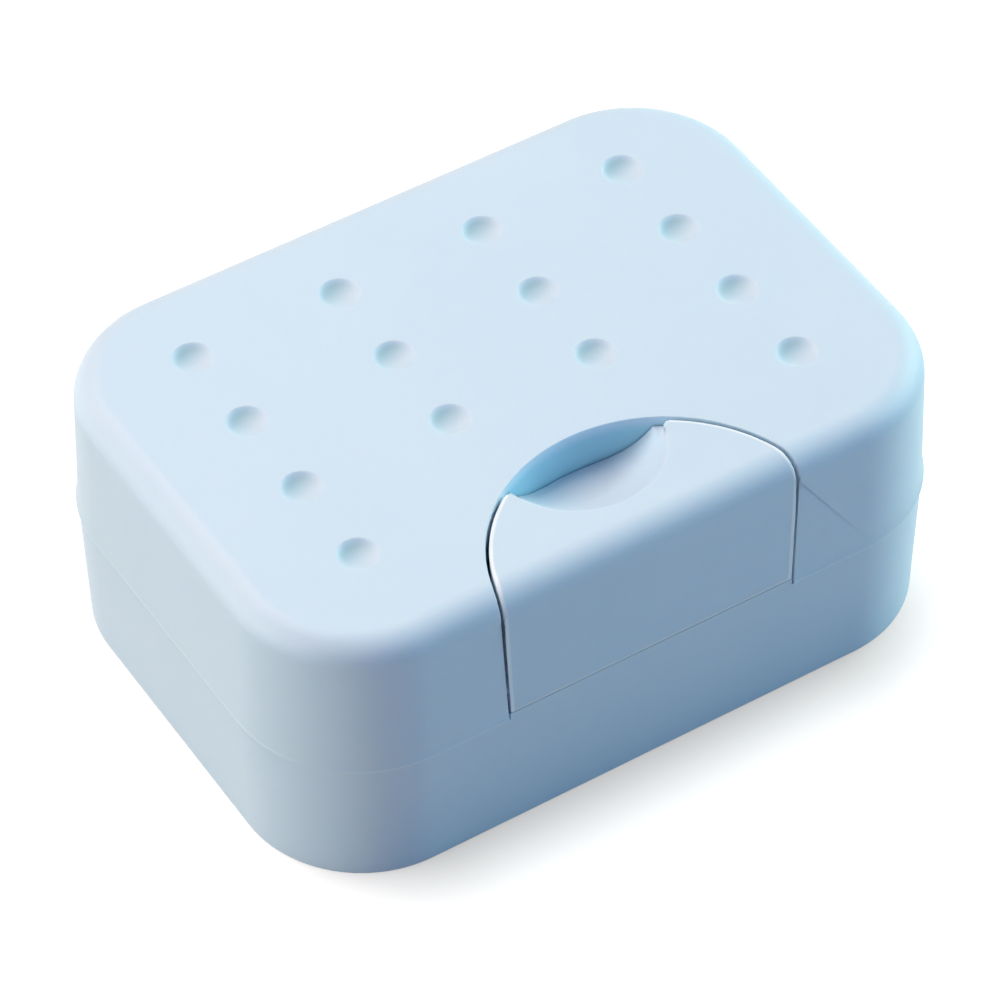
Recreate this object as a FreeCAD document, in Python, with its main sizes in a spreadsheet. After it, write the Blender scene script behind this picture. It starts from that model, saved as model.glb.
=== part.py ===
import FreeCAD, Part
import math
import os
import re
import Sketcher
from FreeCAD import Vector

# Travel soap box: a hinged two-part case with a latch flap, a seal and a drain tray.
# Millimetres. X runs across the box, +Y to the hinge side, +Z up; the origin is the
# middle of the flat underside.

SIZES = {
    # Case
    "body_width": 110.0,
    "body_depth": 79.0,
    "body_height": 46.0,
    "parting_height": 22.4,
    "parting_gap": 0.2,
    "corner_radius": 19.5,
    "lid_draft": 1.8,
    "base_draft": 1.5,
    "lid_top_round": 4.2,
    "base_edge_chamfer": 0.7,
    "lid_wall": 2.2,
    "lid_shoulder": 1.2,
    "lid_top_wall": 2.0,
    "floor_wall": 2.0,
    "bead_out": 0.3,
    "bead_height": 2.6,
    # Rim and seal, counted inwards from the rim of the lid
    "lip_wall": 0.9,
    "lip_clearance": 0.1,
    "seal_width": 0.9,
    "seal_height": 2.6,
    "collar_wall": 0.9,
    "collar_height": 2.4,
    "rebate_height": 2.5,
    "notch_round_share": 0.059,
    "notch_inner_round": 0.6,
    # Pocket in the lid that holds the latch flap
    "pocket_radius_share": 0.2236,
    "pocket_centre_inset": 2.9,
    "pocket_depth": 8.8,
    "pocket_floor_wall": 1.8,
    "pocket_draft": 2.2,
    "latch_room": 7.3,
    # Latch flap
    "flap_gap": 0.45,
    "flap_wall": 1.8,
    "flap_skirt": 1.6,
    "flap_under_gap": 0.3,
    "pivot_inset": 1.9,
    "pivot_rise": 4.8,
    "heel_radius": 4.0,
    "heel_gap": 0.3,
    "heel_wall": 1.6,
    "trunnion_radius": 1.1,
    "trunnion_clearance": 0.06,
    "trunnion_bite": 1.3,
    "trunnion_end_gap": 0.3,
    "dish_radius": 13.4,
    "dish_depth": 6.8,
    "dish_centre_inset": 20.4,
    "dish_wall": 1.7,
    "dish_back_slope": 45.0,
    # Catch between flap and base
    "catch_width": 16.0,
    "catch_ledge_thickness": 1.0,
    "catch_bite": 0.9,
    "catch_clearance": 0.3,
    "catch_nose_height": 1.2,
    "catch_tip_share": 0.4,
    "catch_blade": 1.3,
    "gutter_front_wall": 1.6,
    "gutter_side_wall": 2.0,
    "gutter_floor": 4.0,
    "land_side_gap": 0.3,
    "land_rise": 1.3,
    # Hinge
    "hinge_radius": 2.6,
    "hinge_wall_gap": 0.4,
    "hinge_corner_gap": 7.5,
    "lid_knuckle_width": 9.0,
    "base_knuckle_width": 5.0,
    "knuckle_gap": 0.3,
    "pin_radius": 1.0,
    "pin_clearance": 0.06,
    "hinge_web_height": 6.0,
    # Dimples in the lid
    "dimple_pitch_across": 23.75,
    "dimple_pitch_along": 14.75,
    "dimple_radius": 2.9,
    "dimple_depth": 0.9,
    "dimple_row_shift": 1.2,
    # Drain tray
    "tray_side_gap": 2.0,
    "tray_corner_radius": 18.0,
    "tray_lift": 5.0,
    "tray_plate": 1.6,
    "slot_width": 3.2,
    "slot_length": 23.0,
    "slot_pitch": 7.6,
    "slot_row_gap": 5.0,
    "rib_width": 1.3,
    "rib_height": 1.5,
    "foot_length": 8.0,
    "foot_width": 2.0,
    "foot_inset": 13.0,
    # One overrun for every cut that has to pass clear of a face
    "overrun": 3.0,
}

QUARTER_TURN = 90
ROUND_STEPS = 4
DIMPLE_COLUMNS = 4
DIMPLE_ROWS = 3
SLOTS_IN_ROW = 9
FINE = 1e-4
CUT_SHARE = 1e-6

# Places worked out from the sizes, as expressions that the features are bound to.
# Those that end in _Y are distances in front of the middle, so a place takes a minus.
RIM_Z = "(parting_height - parting_gap)"
LID_RISE = "(body_height - parting_height)"
SHELL_HALF_X = "(body_width / 2 - bead_out)"
FRONT_Y = "(body_depth / 2 - bead_out)"
SHELL_RADIUS = "(corner_radius - bead_out)"
POCKET_Y = "(body_depth / 2 + pocket_centre_inset)"
POCKET_OPEN_Y = f"({POCKET_Y} + overrun)"
POCKET_FLOOR_Z = "(body_height - pocket_depth)"
POCKET_UNDER_Z = f"({POCKET_FLOOR_Z} - pocket_floor_wall)"
ROOM_Y = "(body_depth / 2 - latch_room)"
ROOM_RISE = f"({POCKET_FLOOR_Z} - parting_height)"
ROOM_TOP_Y = f"({ROOM_Y} - {ROOM_RISE} * tan(pocket_draft * 1deg))"
POCKET_RADIUS = "(body_width * pocket_radius_share)"
POCKET_FLOOR_RADIUS = f"({POCKET_RADIUS} - pocket_depth * tan(pocket_draft * 1deg))"
FLAP_RADIUS = f"({POCKET_RADIUS} - flap_gap)"
TOP_FRONT_Y = f"({FRONT_Y} - {LID_RISE} * tan(lid_draft * 1deg))"
UPPER_INSET = "(lid_wall + lid_shoulder)"
ROUND_INSET = f"({LID_RISE} - lid_top_round) * tan(lid_draft * 1deg)"
BITE_RADIUS = f"({POCKET_RADIUS} + lid_wall)"

PIVOT_Y = f"({FRONT_Y} - pivot_inset)"
PIVOT_Z = "(parting_height + pivot_rise)"
FLAP_BACK_Y = f"({PIVOT_Y} - heel_radius)"
FLAP_SHELF_Z = f"({POCKET_FLOOR_Z} + flap_under_gap)"
FLAP_NARROWING = f"((body_height - {PIVOT_Z}) * tan(pocket_draft * 1deg))"
FLAP_SIDE = f"(sqrt({FLAP_RADIUS}^2 - ({POCKET_Y} - {PIVOT_Y})^2) - {FLAP_NARROWING})"
TRUNNION_HALF = f"({FLAP_SIDE} + flap_gap + trunnion_bite)"
HEEL_TOP_Z = f"({PIVOT_Z} - heel_radius + heel_wall)"
DISH_Y = "(body_depth / 2 - dish_centre_inset)"
DISH_SPHERE = "((dish_radius^2 + dish_depth^2) / (2 * dish_depth))"
DISH_Z = f"(body_height - dish_depth + {DISH_SPHERE})"

SEAL_INSET = "(lip_wall + lip_clearance)"
COLLAR_INSET = f"({SEAL_INSET} + seal_width)"
BASE_INSET = f"({COLLAR_INSET} + collar_wall)"

LAND_Z = "(parting_height + land_rise)"
LAND_RADIUS = f"({POCKET_RADIUS} - {LID_RISE} * tan(pocket_draft * 1deg) - land_side_gap)"
LEDGE_Z = f"({PIVOT_Z} - heel_radius - heel_gap - catch_ledge_thickness)"
GUTTER_FRONT_Y = f"({FRONT_Y} - gutter_front_wall)"
LEDGE_BACK_Y = f"({GUTTER_FRONT_Y} - catch_bite - catch_clearance)"
LAND_FRONT_X = f"sqrt({LAND_RADIUS}^2 - ({POCKET_Y} - {FRONT_Y})^2)"
LAND_BACK_X = f"sqrt({LAND_RADIUS}^2 - ({POCKET_Y} - {LEDGE_BACK_Y})^2)"
GUTTER_HALF = f"({POCKET_RADIUS} - gutter_side_wall - land_side_gap)"
BLADE_FRONT_Y = f"({LEDGE_BACK_Y} - catch_clearance)"
BLADE_BACK_Y = f"({BLADE_FRONT_Y} - catch_blade)"
NOSE_Y = f"({GUTTER_FRONT_Y} - catch_clearance)"
NOSE_Z = f"({LEDGE_Z} - catch_clearance)"

HINGE_X = "(body_width / 2 - corner_radius - hinge_corner_gap)"
HINGE_Y = "(body_depth / 2 + hinge_wall_gap + hinge_radius)"
PIN_HALF = "(lid_knuckle_width / 2 + knuckle_gap + base_knuckle_width)"
DIMPLE_SPHERE = "((dimple_radius^2 + dimple_depth^2) / (2 * dimple_depth))"
DIMPLE_Z = f"(body_height - dimple_depth + {DIMPLE_SPHERE})"

TRAY_Z = "(floor_wall + tray_lift)"
TRAY_TOP_Z = f"({TRAY_Z} + tray_plate)"
TRAY_INSET = f"({BASE_INSET} + tray_side_gap)"
TRAY_HALF_X = f"(body_width / 2 - {TRAY_INSET})"
TRAY_BACK_Y = f"(body_depth / 2 - {TRAY_INSET})"
TRAY_FRONT_Y = f"({ROOM_Y} - {TRAY_INSET})"
TRAY_MIDDLE_Y = "(latch_room / 2)"

doc = FreeCAD.newDocument("TravelSoapBox")
sheet = doc.addObject("Spreadsheet::Sheet", "Sizes")
for row, (alias, number) in enumerate(SIZES.items(), start=1):
    sheet.set("A%d" % row, alias)
    sheet.set("B%d" % row, str(number))
    sheet.setAlias("B%d" % row, alias)
doc.recompute()


def full(text):
    """Give every size named in an expression its sheet's name."""
    return re.sub(r"[a-z_]+", lambda hit: ("Sizes." if hit.group() in SIZES else "") + hit.group(), text)


def value(text):
    """The number that an expression gives with the sheet's present sizes."""
    return float(sheet.evalExpression(full(text)))


def bind(thing, **expressions):
    """Bind properties of an object to expressions in the sheet's sizes."""
    for name, text in expressions.items():
        thing.setExpression(name, full(text))


def new_body(name):
    """A body for one piece, with its own label."""
    body = doc.addObject("PartDesign::Body", name)
    body.Label = name
    return body


def plane(body, role):
    """One of the body's own origin planes."""
    return next(item for item in body.Origin.OriginFeatures if item.Role == role)


def new_sketch(body, name, role, height="0"):
    """A sketch on an origin plane of the body, lifted along that plane's normal."""
    sketch = body.newObject("Sketcher::SketchObject", name)
    sketch.AttachmentSupport = [(plane(body, role), "")]
    sketch.MapMode = "FlatFace"
    sketch.setExpression("AttachmentOffset.Base.z", full(height))
    return sketch


def hold(sketch, kind, *places, text):
    """Add a dimension to a sketch and bind it to an expression."""
    number = value(text)
    index = sketch.addConstraint(Sketcher.Constraint(kind, *places, number))
    sketch.setExpression("Constraints[%d]" % index, full(text))


def pin_point(sketch, item, end, x_text, y_text):
    """Fix a point of a sketch at a place given by two expressions."""
    for kind, axis, text in (("DistanceX", -2, x_text), ("DistanceY", -1, y_text)):
        number = value(text)
        if abs(number) < 1e-9:
            sketch.addConstraint(Sketcher.Constraint("PointOnObject", item, end, axis))
        elif number > 0:
            hold(sketch, kind, -1, 1, item, end, text=text)
        else:
            hold(sketch, kind, item, end, -1, 1, text="-(%s)" % text)


def corner_loop(sketch, corners):
    """Draw a closed outline of straight sides; each corner is (x, y, radius or None)."""
    count = len(corners)
    spots = [Vector(value(x), value(y), 0) for x, y, radius in corners]
    radii = [value(radius) if radius else 0.0 for x, y, radius in corners]
    entries, exits, middles = [], [], []
    for i, spot in enumerate(spots):
        back = (spots[i - 1] - spot).normalize()
        ahead = (spots[(i + 1) % count] - spot).normalize()
        half = back.getAngle(ahead) / 2
        entries.append(spot + back * (radii[i] / math.tan(half)))
        exits.append(spot + ahead * (radii[i] / math.tan(half)))
        middles.append(spot + (back + ahead).normalize() * (radii[i] / math.sin(half) - radii[i]))
    points = [sketch.addGeometry(Part.Point(spot), True) for spot in spots]
    lines = [
        sketch.addGeometry(Part.LineSegment(exits[i], entries[(i + 1) % count]), False)
        for i in range(count)
    ]
    for i, (x, y, radius) in enumerate(corners):
        before, after = lines[i - 1], lines[i]
        pin_point(sketch, points[i], 1, x, y)
        if radii[i]:
            arc = sketch.addGeometry(Part.Arc(entries[i], middles[i], exits[i]), False)
            start = sketch.getPoint(arc, 1)
            forward = start.distanceToPoint(entries[i]) < start.distanceToPoint(exits[i])
            first, last = (1, 2) if forward else (2, 1)
            sketch.addConstraint(Sketcher.Constraint("Tangent", before, 2, arc, first))
            sketch.addConstraint(Sketcher.Constraint("Tangent", after, 1, arc, last))
            sketch.addConstraint(Sketcher.Constraint("PointOnObject", points[i], 1, before))
            sketch.addConstraint(Sketcher.Constraint("PointOnObject", points[i], 1, after))
            hold(sketch, "Radius", arc, text=radius)
        else:
            sketch.addConstraint(Sketcher.Constraint("Coincident", before, 2, points[i], 1))
            sketch.addConstraint(Sketcher.Constraint("Coincident", after, 1, points[i], 1))


def rounded_box(sketch, half_x, half_y, radius):
    """Draw a rounded rectangle about the sketch's origin."""
    corner_loop(sketch, [
        (sign_x + half_x, sign_y + half_y, radius)
        for sign_x, sign_y in (("", "-"), ("", ""), ("-", ""), ("-", "-"))
    ])


def rim_loop(sketch, inset):
    """Draw the rim's outline set in by inset, with the notch that passes behind the latch."""
    half_x = "(body_width / 2 - %s)" % inset
    half_y = "(body_depth / 2 - %s)" % inset
    notch_x = "(%s + %s)" % (POCKET_RADIUS, inset)
    notch_y = "-(%s - %s)" % (ROOM_Y, inset)
    corner = "corner_radius - %s" % inset
    outer = "body_width * notch_round_share - %s" % inset
    inner = "notch_inner_round + %s" % inset
    corner_loop(sketch, [
        (half_x, half_y, corner),
        ("-" + half_x, half_y, corner),
        ("-" + half_x, "-" + half_y, corner),
        ("-" + notch_x, "-" + half_y, outer),
        ("-" + notch_x, notch_y, inner),
        (notch_x, notch_y, inner),
        (notch_x, "-" + half_y, outer),
        (half_x, "-" + half_y, corner),
    ])


def ring(sketch, x, y, radius):
    """Draw a circle with its centre and radius bound to expressions."""
    circle = sketch.addGeometry(
        Part.Circle(Vector(value(x), value(y), 0), Vector(0, 0, 1), value(radius)), False
    )
    pin_point(sketch, circle, 3, x, y)
    hold(sketch, "Radius", circle, text=radius)


def arc_between(sketch, x, y, radius, start, middle, end):
    """Draw an arc about (x, y) through three points and bind its centre and radius."""
    arc = sketch.addGeometry(Part.Arc(start, middle, end), False)
    pin_point(sketch, arc, 3, x, y)
    hold(sketch, "Radius", arc, text=radius)
    return arc


def end_near(sketch, item, place):
    """Which end of a line or arc, 1 or 2, lies at a place."""
    return min((1, 2), key=lambda end: sketch.getPoint(item, end).distanceToPoint(place))


def joined(sketch, first, second, place, kind="Coincident"):
    """Join the ends of two items that meet at a place."""
    sketch.addConstraint(Sketcher.Constraint(
        kind, first, end_near(sketch, first, place), second, end_near(sketch, second, place)))


def arch_loop(sketch, radius, front_y, back_y=None):
    """Draw the latch's plan: straight sides, then a half circle, cut off at back_y if given.

    The half circle's centre lies just in front of the box, so the outline is widest there.
    """
    r, centre, front = value(radius), -value(POCKET_Y), -value(front_y)
    back = None if back_y is None else -value(back_y)
    half_x = r if back is None else math.sqrt(r * r - (back - centre) ** 2)
    left = sketch.addGeometry(Part.LineSegment(Vector(-r, front, 0), Vector(-r, centre, 0)), False)
    right = sketch.addGeometry(Part.LineSegment(Vector(r, centre, 0), Vector(r, front, 0)), False)
    base = sketch.addGeometry(Part.LineSegment(Vector(r, front, 0), Vector(-r, front, 0)), False)
    if back is None:
        arcs = [arc_between(sketch, "0", "-" + POCKET_Y, radius, Vector(-r, centre, 0),
                            Vector(0, centre + r, 0), Vector(r, centre, 0))]
    else:
        angle = math.acos(half_x / r) / 2
        rise = Vector(r * math.cos(angle), r * math.sin(angle) + centre, 0)
        mirrored = Vector(-rise.x, rise.y, 0)
        arcs = [
            arc_between(sketch, "0", "-" + POCKET_Y, radius, Vector(-r, centre, 0), mirrored,
                        Vector(-half_x, back, 0)),
            arc_between(sketch, "0", "-" + POCKET_Y, radius, Vector(half_x, back, 0), rise,
                        Vector(r, centre, 0)),
        ]
        top = sketch.addGeometry(
            Part.LineSegment(Vector(-half_x, back, 0), Vector(half_x, back, 0)), False
        )
        sketch.addConstraint(Sketcher.Constraint("Horizontal", top))
        hold(sketch, "DistanceY", top, 1, -1, 1, text=back_y)
        joined(sketch, arcs[0], top, Vector(-half_x, back, 0))
        joined(sketch, arcs[1], top, Vector(half_x, back, 0))
    joined(sketch, right, base, Vector(r, front, 0))
    joined(sketch, base, left, Vector(-r, front, 0))
    joined(sketch, left, arcs[0], Vector(-r, centre, 0), "Tangent")
    joined(sketch, right, arcs[-1], Vector(r, centre, 0), "Tangent")
    sketch.addConstraint(Sketcher.Constraint("Vertical", left))
    sketch.addConstraint(Sketcher.Constraint("Vertical", right))
    sketch.addConstraint(Sketcher.Constraint("Horizontal", base))
    hold(sketch, "DistanceY", base, 1, -1, 1, text=front_y)


def chord_loop(sketch, radius, front_y):
    """Draw the part of the latch's half circle that lies behind the line at front_y."""
    r, centre, front = value(radius), -value(POCKET_Y), -value(front_y)
    half_x = math.sqrt(r * r - (front - centre) ** 2)
    arc = arc_between(sketch, "0", "-" + POCKET_Y, radius, Vector(-half_x, front, 0),
                      Vector(0, centre + r, 0), Vector(half_x, front, 0))
    chord = sketch.addGeometry(
        Part.LineSegment(Vector(half_x, front, 0), Vector(-half_x, front, 0)), False
    )
    joined(sketch, arc, chord, Vector(-half_x, front, 0))
    joined(sketch, arc, chord, Vector(half_x, front, 0))
    sketch.addConstraint(Sketcher.Constraint("Horizontal", chord))
    hold(sketch, "DistanceY", chord, 1, -1, 1, text=front_y)


def feature(body, kind, name, sketch, reversed_=False, midplane=False, **expressions):
    """Add a feature made from one sketch, with its sizes bound to expressions."""
    item = body.newObject("PartDesign::" + kind, name)
    item.Profile = sketch
    item.Reversed = reversed_
    if midplane:
        item.Midplane = True
    bind(item, **expressions)
    sketch.Visibility = False
    doc.recompute()
    body.Tip = item
    return item


def cut(body, kind, name, sketch, **options):
    """Add a cutting feature, and make sure that it takes something away."""
    before = body.Tip.Shape.Volume
    item = feature(body, kind, name, sketch, **options)
    if before - item.Shape.Volume < before * CUT_SHARE:
        raise ValueError("%s cuts nothing from %s" % (name, body.Label))
    return item


def ball(body, name, x, y, z, radius):
    """Take away a sphere whose centre and radius are bound to expressions.

    Its axis lies along X, so that no pole falls in the cut.
    """
    item = body.newObject("PartDesign::SubtractiveSphere", name)
    item.AttachmentSupport = [(plane(body, "YZ_Plane"), "")]
    item.MapMode = "FlatFace"
    for axis, text in zip("xyz", (y, z, x)):
        item.setExpression("AttachmentOffset.Base." + axis, full(text))
    return finish(body, item, Radius=radius)


def row(body, name, axis, count, length, reversed_=False):
    """A straight pattern along one of the body's origin axes, not yet given its originals."""
    item = body.newObject("PartDesign::LinearPattern", name)
    item.Direction = (plane(body, axis), [""])
    item.Reversed = reversed_
    item.Occurrences = count
    bind(item, Length=length)
    return item


def finish(body, item, **expressions):
    """Bind the sizes of a feature that needs no sketch, build it and make it the tip."""
    bind(item, **expressions)
    doc.recompute()
    body.Tip = item
    return item


def level(edge, height):
    """Whether an edge lies wholly at one height."""
    box = edge.BoundBox
    return abs(box.ZMin - height) < FINE and abs(box.ZMax - height) < FINE


def mirrored(body, name, originals):
    """Repeat features on the other side of the box's middle plane."""
    item = body.newObject("PartDesign::Mirrored", name)
    item.Originals = originals
    item.MirrorPlane = (plane(body, "YZ_Plane"), [""])
    doc.recompute()
    body.Tip = item
    return item


def base_shell():
    """The lower half: tapered tub, seal collar, latch gutter with its ledge, hinge knuckles."""
    body = new_body("base_shell")
    outline = new_sketch(body, "base_outline", "XY_Plane", RIM_Z)
    rounded_box(outline, SHELL_HALF_X, FRONT_Y, SHELL_RADIUS)
    block = feature(body, "Pad", "base_block", outline, reversed_=True, Length=RIM_Z,
                    TaperAngle="-base_draft")
    lowest = ["Edge%d" % (i + 1) for i, edge in enumerate(block.Shape.Edges) if level(edge, 0)]
    bevel = body.newObject("PartDesign::Chamfer", "base_edge")
    bevel.Base = (block, lowest)
    finish(body, bevel, Size="base_edge_chamfer")

    inside = new_sketch(body, "base_inside", "XY_Plane", RIM_Z)
    rim_loop(inside, BASE_INSET)
    cut(body, "Pocket", "base_cavity", inside, Length=f"{RIM_Z} - floor_wall")
    collar = new_sketch(body, "base_collar_outline", "XY_Plane", RIM_Z)
    rim_loop(collar, COLLAR_INSET)
    rim_loop(collar, BASE_INSET)
    feature(body, "Pad", "base_collar", collar, Length="collar_height")

    land = new_sketch(body, "latch_land_outline", "XY_Plane", RIM_Z)
    corner_loop(land, [
        (f"-{LAND_FRONT_X}", f"-{FRONT_Y}", None),
        (LAND_FRONT_X, f"-{FRONT_Y}", None),
        (LAND_BACK_X, f"-{LEDGE_BACK_Y}", None),
        (f"-{LAND_BACK_X}", f"-{LEDGE_BACK_Y}", None),
    ])
    feature(body, "Pad", "latch_land", land, Length=f"{LAND_Z} - {RIM_Z}")
    gutter = new_sketch(body, "gutter_outline", "XY_Plane", LEDGE_Z)
    gutter_loop(gutter, GUTTER_FRONT_Y)
    cut(body, "Pocket", "gutter", gutter, Length=f"{LEDGE_Z} - gutter_floor")
    mouth = new_sketch(body, "gutter_mouth_outline", "XY_Plane", LAND_Z)
    gutter_loop(mouth, LEDGE_BACK_Y)
    cut(body, "Pocket", "gutter_mouth", mouth, Length=f"{LAND_Z} - {LEDGE_Z}")
    trough = new_sketch(body, "heel_trough_outline", "YZ_Plane")
    ring(trough, f"-{PIVOT_Y}", PIVOT_Z, "heel_radius + heel_gap")
    cut(body, "Pocket", "heel_trough", trough, midplane=True, Length=f"2 * {LAND_FRONT_X} + overrun")

    start = f"({HINGE_X} + lid_knuckle_width / 2 + knuckle_gap)"
    knuckle(body, "outer", start, "base_knuckle_width", RIM_Z, "-")
    start = f"({HINGE_X} - {PIN_HALF})"
    knuckle(body, "inner", start, "base_knuckle_width", RIM_Z, "-")
    hinge_bore(body, "pin_radius")
    return body


def gutter_loop(sketch, front_y):
    """Draw the plan of the gutter behind the latch ledge, from front_y back to the notch."""
    corner_loop(sketch, [
        (f"-{GUTTER_HALF}", f"-{front_y}", None),
        (GUTTER_HALF, f"-{front_y}", None),
        (GUTTER_HALF, f"-{ROOM_Y}", None),
        (f"-{GUTTER_HALF}", f"-{ROOM_Y}", None),
    ])


def knuckle(body, name, start, width, wall_z, side):
    """Add a hinge knuckle and its web at one station, and mirror both across the box.

    The web runs from the wall to the knuckle on the side of the parting plane given by sign.
    """
    label = f"{body.Label}_{name}"
    web = new_sketch(body, f"{label}_web_outline", "YZ_Plane", start)
    corner_loop(web, [
        (f"({FRONT_Y} - lip_wall)", wall_z, None),
        (f"({FRONT_Y} - lip_wall)", f"({wall_z} {side} hinge_web_height)", None),
        (HINGE_Y, f"(parting_height {side} hinge_radius)", None),
        (HINGE_Y, wall_z, None),
    ])
    first = feature(body, "Pad", f"{label}_web", web, Length=width)
    barrel = new_sketch(body, f"{label}_barrel_outline", "YZ_Plane", start)
    ring(barrel, HINGE_Y, "parting_height", "hinge_radius")
    second = feature(body, "Pad", f"{label}_barrel", barrel, Length=width)
    mirrored(body, f"{label}_pair", [first, second])


def hinge_bore(body, radius):
    """Bore every knuckle of a body along the hinge line."""
    hole = new_sketch(body, f"{body.Label}_bore_outline", "YZ_Plane")
    ring(hole, HINGE_Y, "parting_height", radius)
    cut(body, "Pocket", f"{body.Label}_bore", hole, midplane=True,
        Length=f"2 * ({HINGE_X} + {PIN_HALF}) + overrun")


def lid_shell():
    """The upper half: drafted cap with the latch's pocket, sockets, rebate and dimples."""
    body = new_body("lid_shell")
    outline = new_sketch(body, "lid_outline", "XY_Plane", "parting_height")
    rounded_box(outline, SHELL_HALF_X, FRONT_Y, SHELL_RADIUS)
    feature(body, "Pad", "lid_block", outline, Length=f"{LID_RISE} - lid_top_round",
            TaperAngle="-lid_draft")
    top_round(body)
    band = new_sketch(body, "lid_bead_outline", "XY_Plane", "parting_height")
    rounded_box(band, "(body_width / 2)", "(body_depth / 2)", "corner_radius")
    feature(body, "Pad", "lid_bead", band, Length="bead_height",
            TaperAngle="-(atan(bead_out / bead_height) + lid_draft * 1deg)")

    lower = new_sketch(body, "lid_lower_inside", "XY_Plane", "parting_height")
    rim_loop(lower, "lid_wall")
    cut(body, "Pocket", "lid_lower_cavity", lower, reversed_=True,
        Length=f"{POCKET_UNDER_Z} - parting_height")
    upper = new_sketch(body, "lid_upper_inside", "XY_Plane", POCKET_UNDER_Z)
    rounded_box(upper, f"(body_width / 2 - {UPPER_INSET})", f"(body_depth / 2 - {UPPER_INSET})",
                f"(corner_radius - {UPPER_INSET})")
    cut(body, "Pocket", "lid_upper_cavity", upper, reversed_=True,
        Length=f"body_height - lid_top_wall - {POCKET_UNDER_Z}")

    arch = new_sketch(body, "latch_bed_outline", "XY_Plane", POCKET_UNDER_Z)
    chord_loop(arch, BITE_RADIUS, f"({TOP_FRONT_Y} - lid_wall / 2)")
    feature(body, "Pad", "latch_bed", arch, Length=f"body_height - lid_top_wall - {POCKET_UNDER_Z}")
    bed = new_sketch(body, "latch_pocket_outline", "XY_Plane", "body_height")
    arch_loop(bed, POCKET_RADIUS, POCKET_OPEN_Y)
    cut(body, "Pocket", "latch_pocket", bed, Length="pocket_depth", TaperAngle="-pocket_draft")
    front = new_sketch(body, "latch_front_outline", "XY_Plane", POCKET_FLOOR_Z)
    arch_loop(front, POCKET_FLOOR_RADIUS, POCKET_OPEN_Y, ROOM_TOP_Y)
    cut(body, "Pocket", "latch_front", front, Length=ROOM_RISE, TaperAngle="-pocket_draft")

    knuckle(body, "middle", f"({HINGE_X} - lid_knuckle_width / 2)", "lid_knuckle_width",
            "parting_height", "+")
    hinge_bore(body, "pin_radius + pin_clearance")
    rebate = new_sketch(body, "rebate_outline", "XY_Plane", "parting_height")
    rim_loop(rebate, "lip_wall")
    cut(body, "Pocket", "rebate", rebate, reversed_=True, Length="rebate_height")
    socket = new_sketch(body, "socket_outline", "YZ_Plane")
    ring(socket, f"-{PIVOT_Y}", PIVOT_Z, "trunnion_radius + trunnion_clearance")
    cut(body, "Pocket", "socket", socket, midplane=True,
        Length=f"2 * ({TRUNNION_HALF} + trunnion_end_gap)")
    dimples(body)
    return body


def top_round(body):
    """Round the lid's upper edge in tapered steps, which keep the corners free of fine facets."""
    for step in range(ROUND_STEPS):
        low, high = (f"{QUARTER_TURN * turn / ROUND_STEPS}deg" for turn in (step, step + 1))
        inset = f"({ROUND_INSET} + lid_top_round * (1 - cos({low})))"
        outline = new_sketch(body, f"round_outline_{step}", "XY_Plane",
                             f"body_height - lid_top_round * (1 - sin({low}))")
        rounded_box(outline, f"({SHELL_HALF_X} - {inset})", f"({FRONT_Y} - {inset})",
                    f"({SHELL_RADIUS} - {inset})")
        feature(body, "Pad", f"round_{step}", outline,
                Length=f"lid_top_round * (sin({high}) - sin({low}))",
                TaperAngle=f"-atan((cos({low}) - cos({high})) / (sin({high}) - sin({low})))")


def dimples(body):
    """Sink the rows of round dimples; the front row has only its two outer ones."""
    x = "-(dimple_pitch_across * (%d - 1) / 2)" % DIMPLE_COLUMNS
    back = "(dimple_row_shift + dimple_pitch_along * %d / 2)" % DIMPLE_ROWS
    first = ball(body, "dimple", x, back, DIMPLE_Z, DIMPLE_SPHERE)
    grid = body.newObject("PartDesign::MultiTransform", "dimple_grid")
    grid.Originals = [first]
    across = row(body, "dimples_across", "X_Axis", DIMPLE_COLUMNS,
                 "dimple_pitch_across * %d" % (DIMPLE_COLUMNS - 1))
    along = row(body, "dimples_along", "Y_Axis", DIMPLE_ROWS,
                "dimple_pitch_along * %d" % (DIMPLE_ROWS - 1), reversed_=True)
    grid.Transformations = [across, along]
    doc.recompute()
    body.Tip = grid
    y = "(dimple_row_shift - dimple_pitch_along * %d / 2)" % DIMPLE_ROWS
    corner = ball(body, "front_dimple", x, y, DIMPLE_Z, DIMPLE_SPHERE)
    pair = row(body, "front_dimples", "X_Axis", 2, "dimple_pitch_across * %d" % (DIMPLE_COLUMNS - 1))
    pair.Originals = [corner]
    doc.recompute()
    body.Tip = pair


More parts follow.
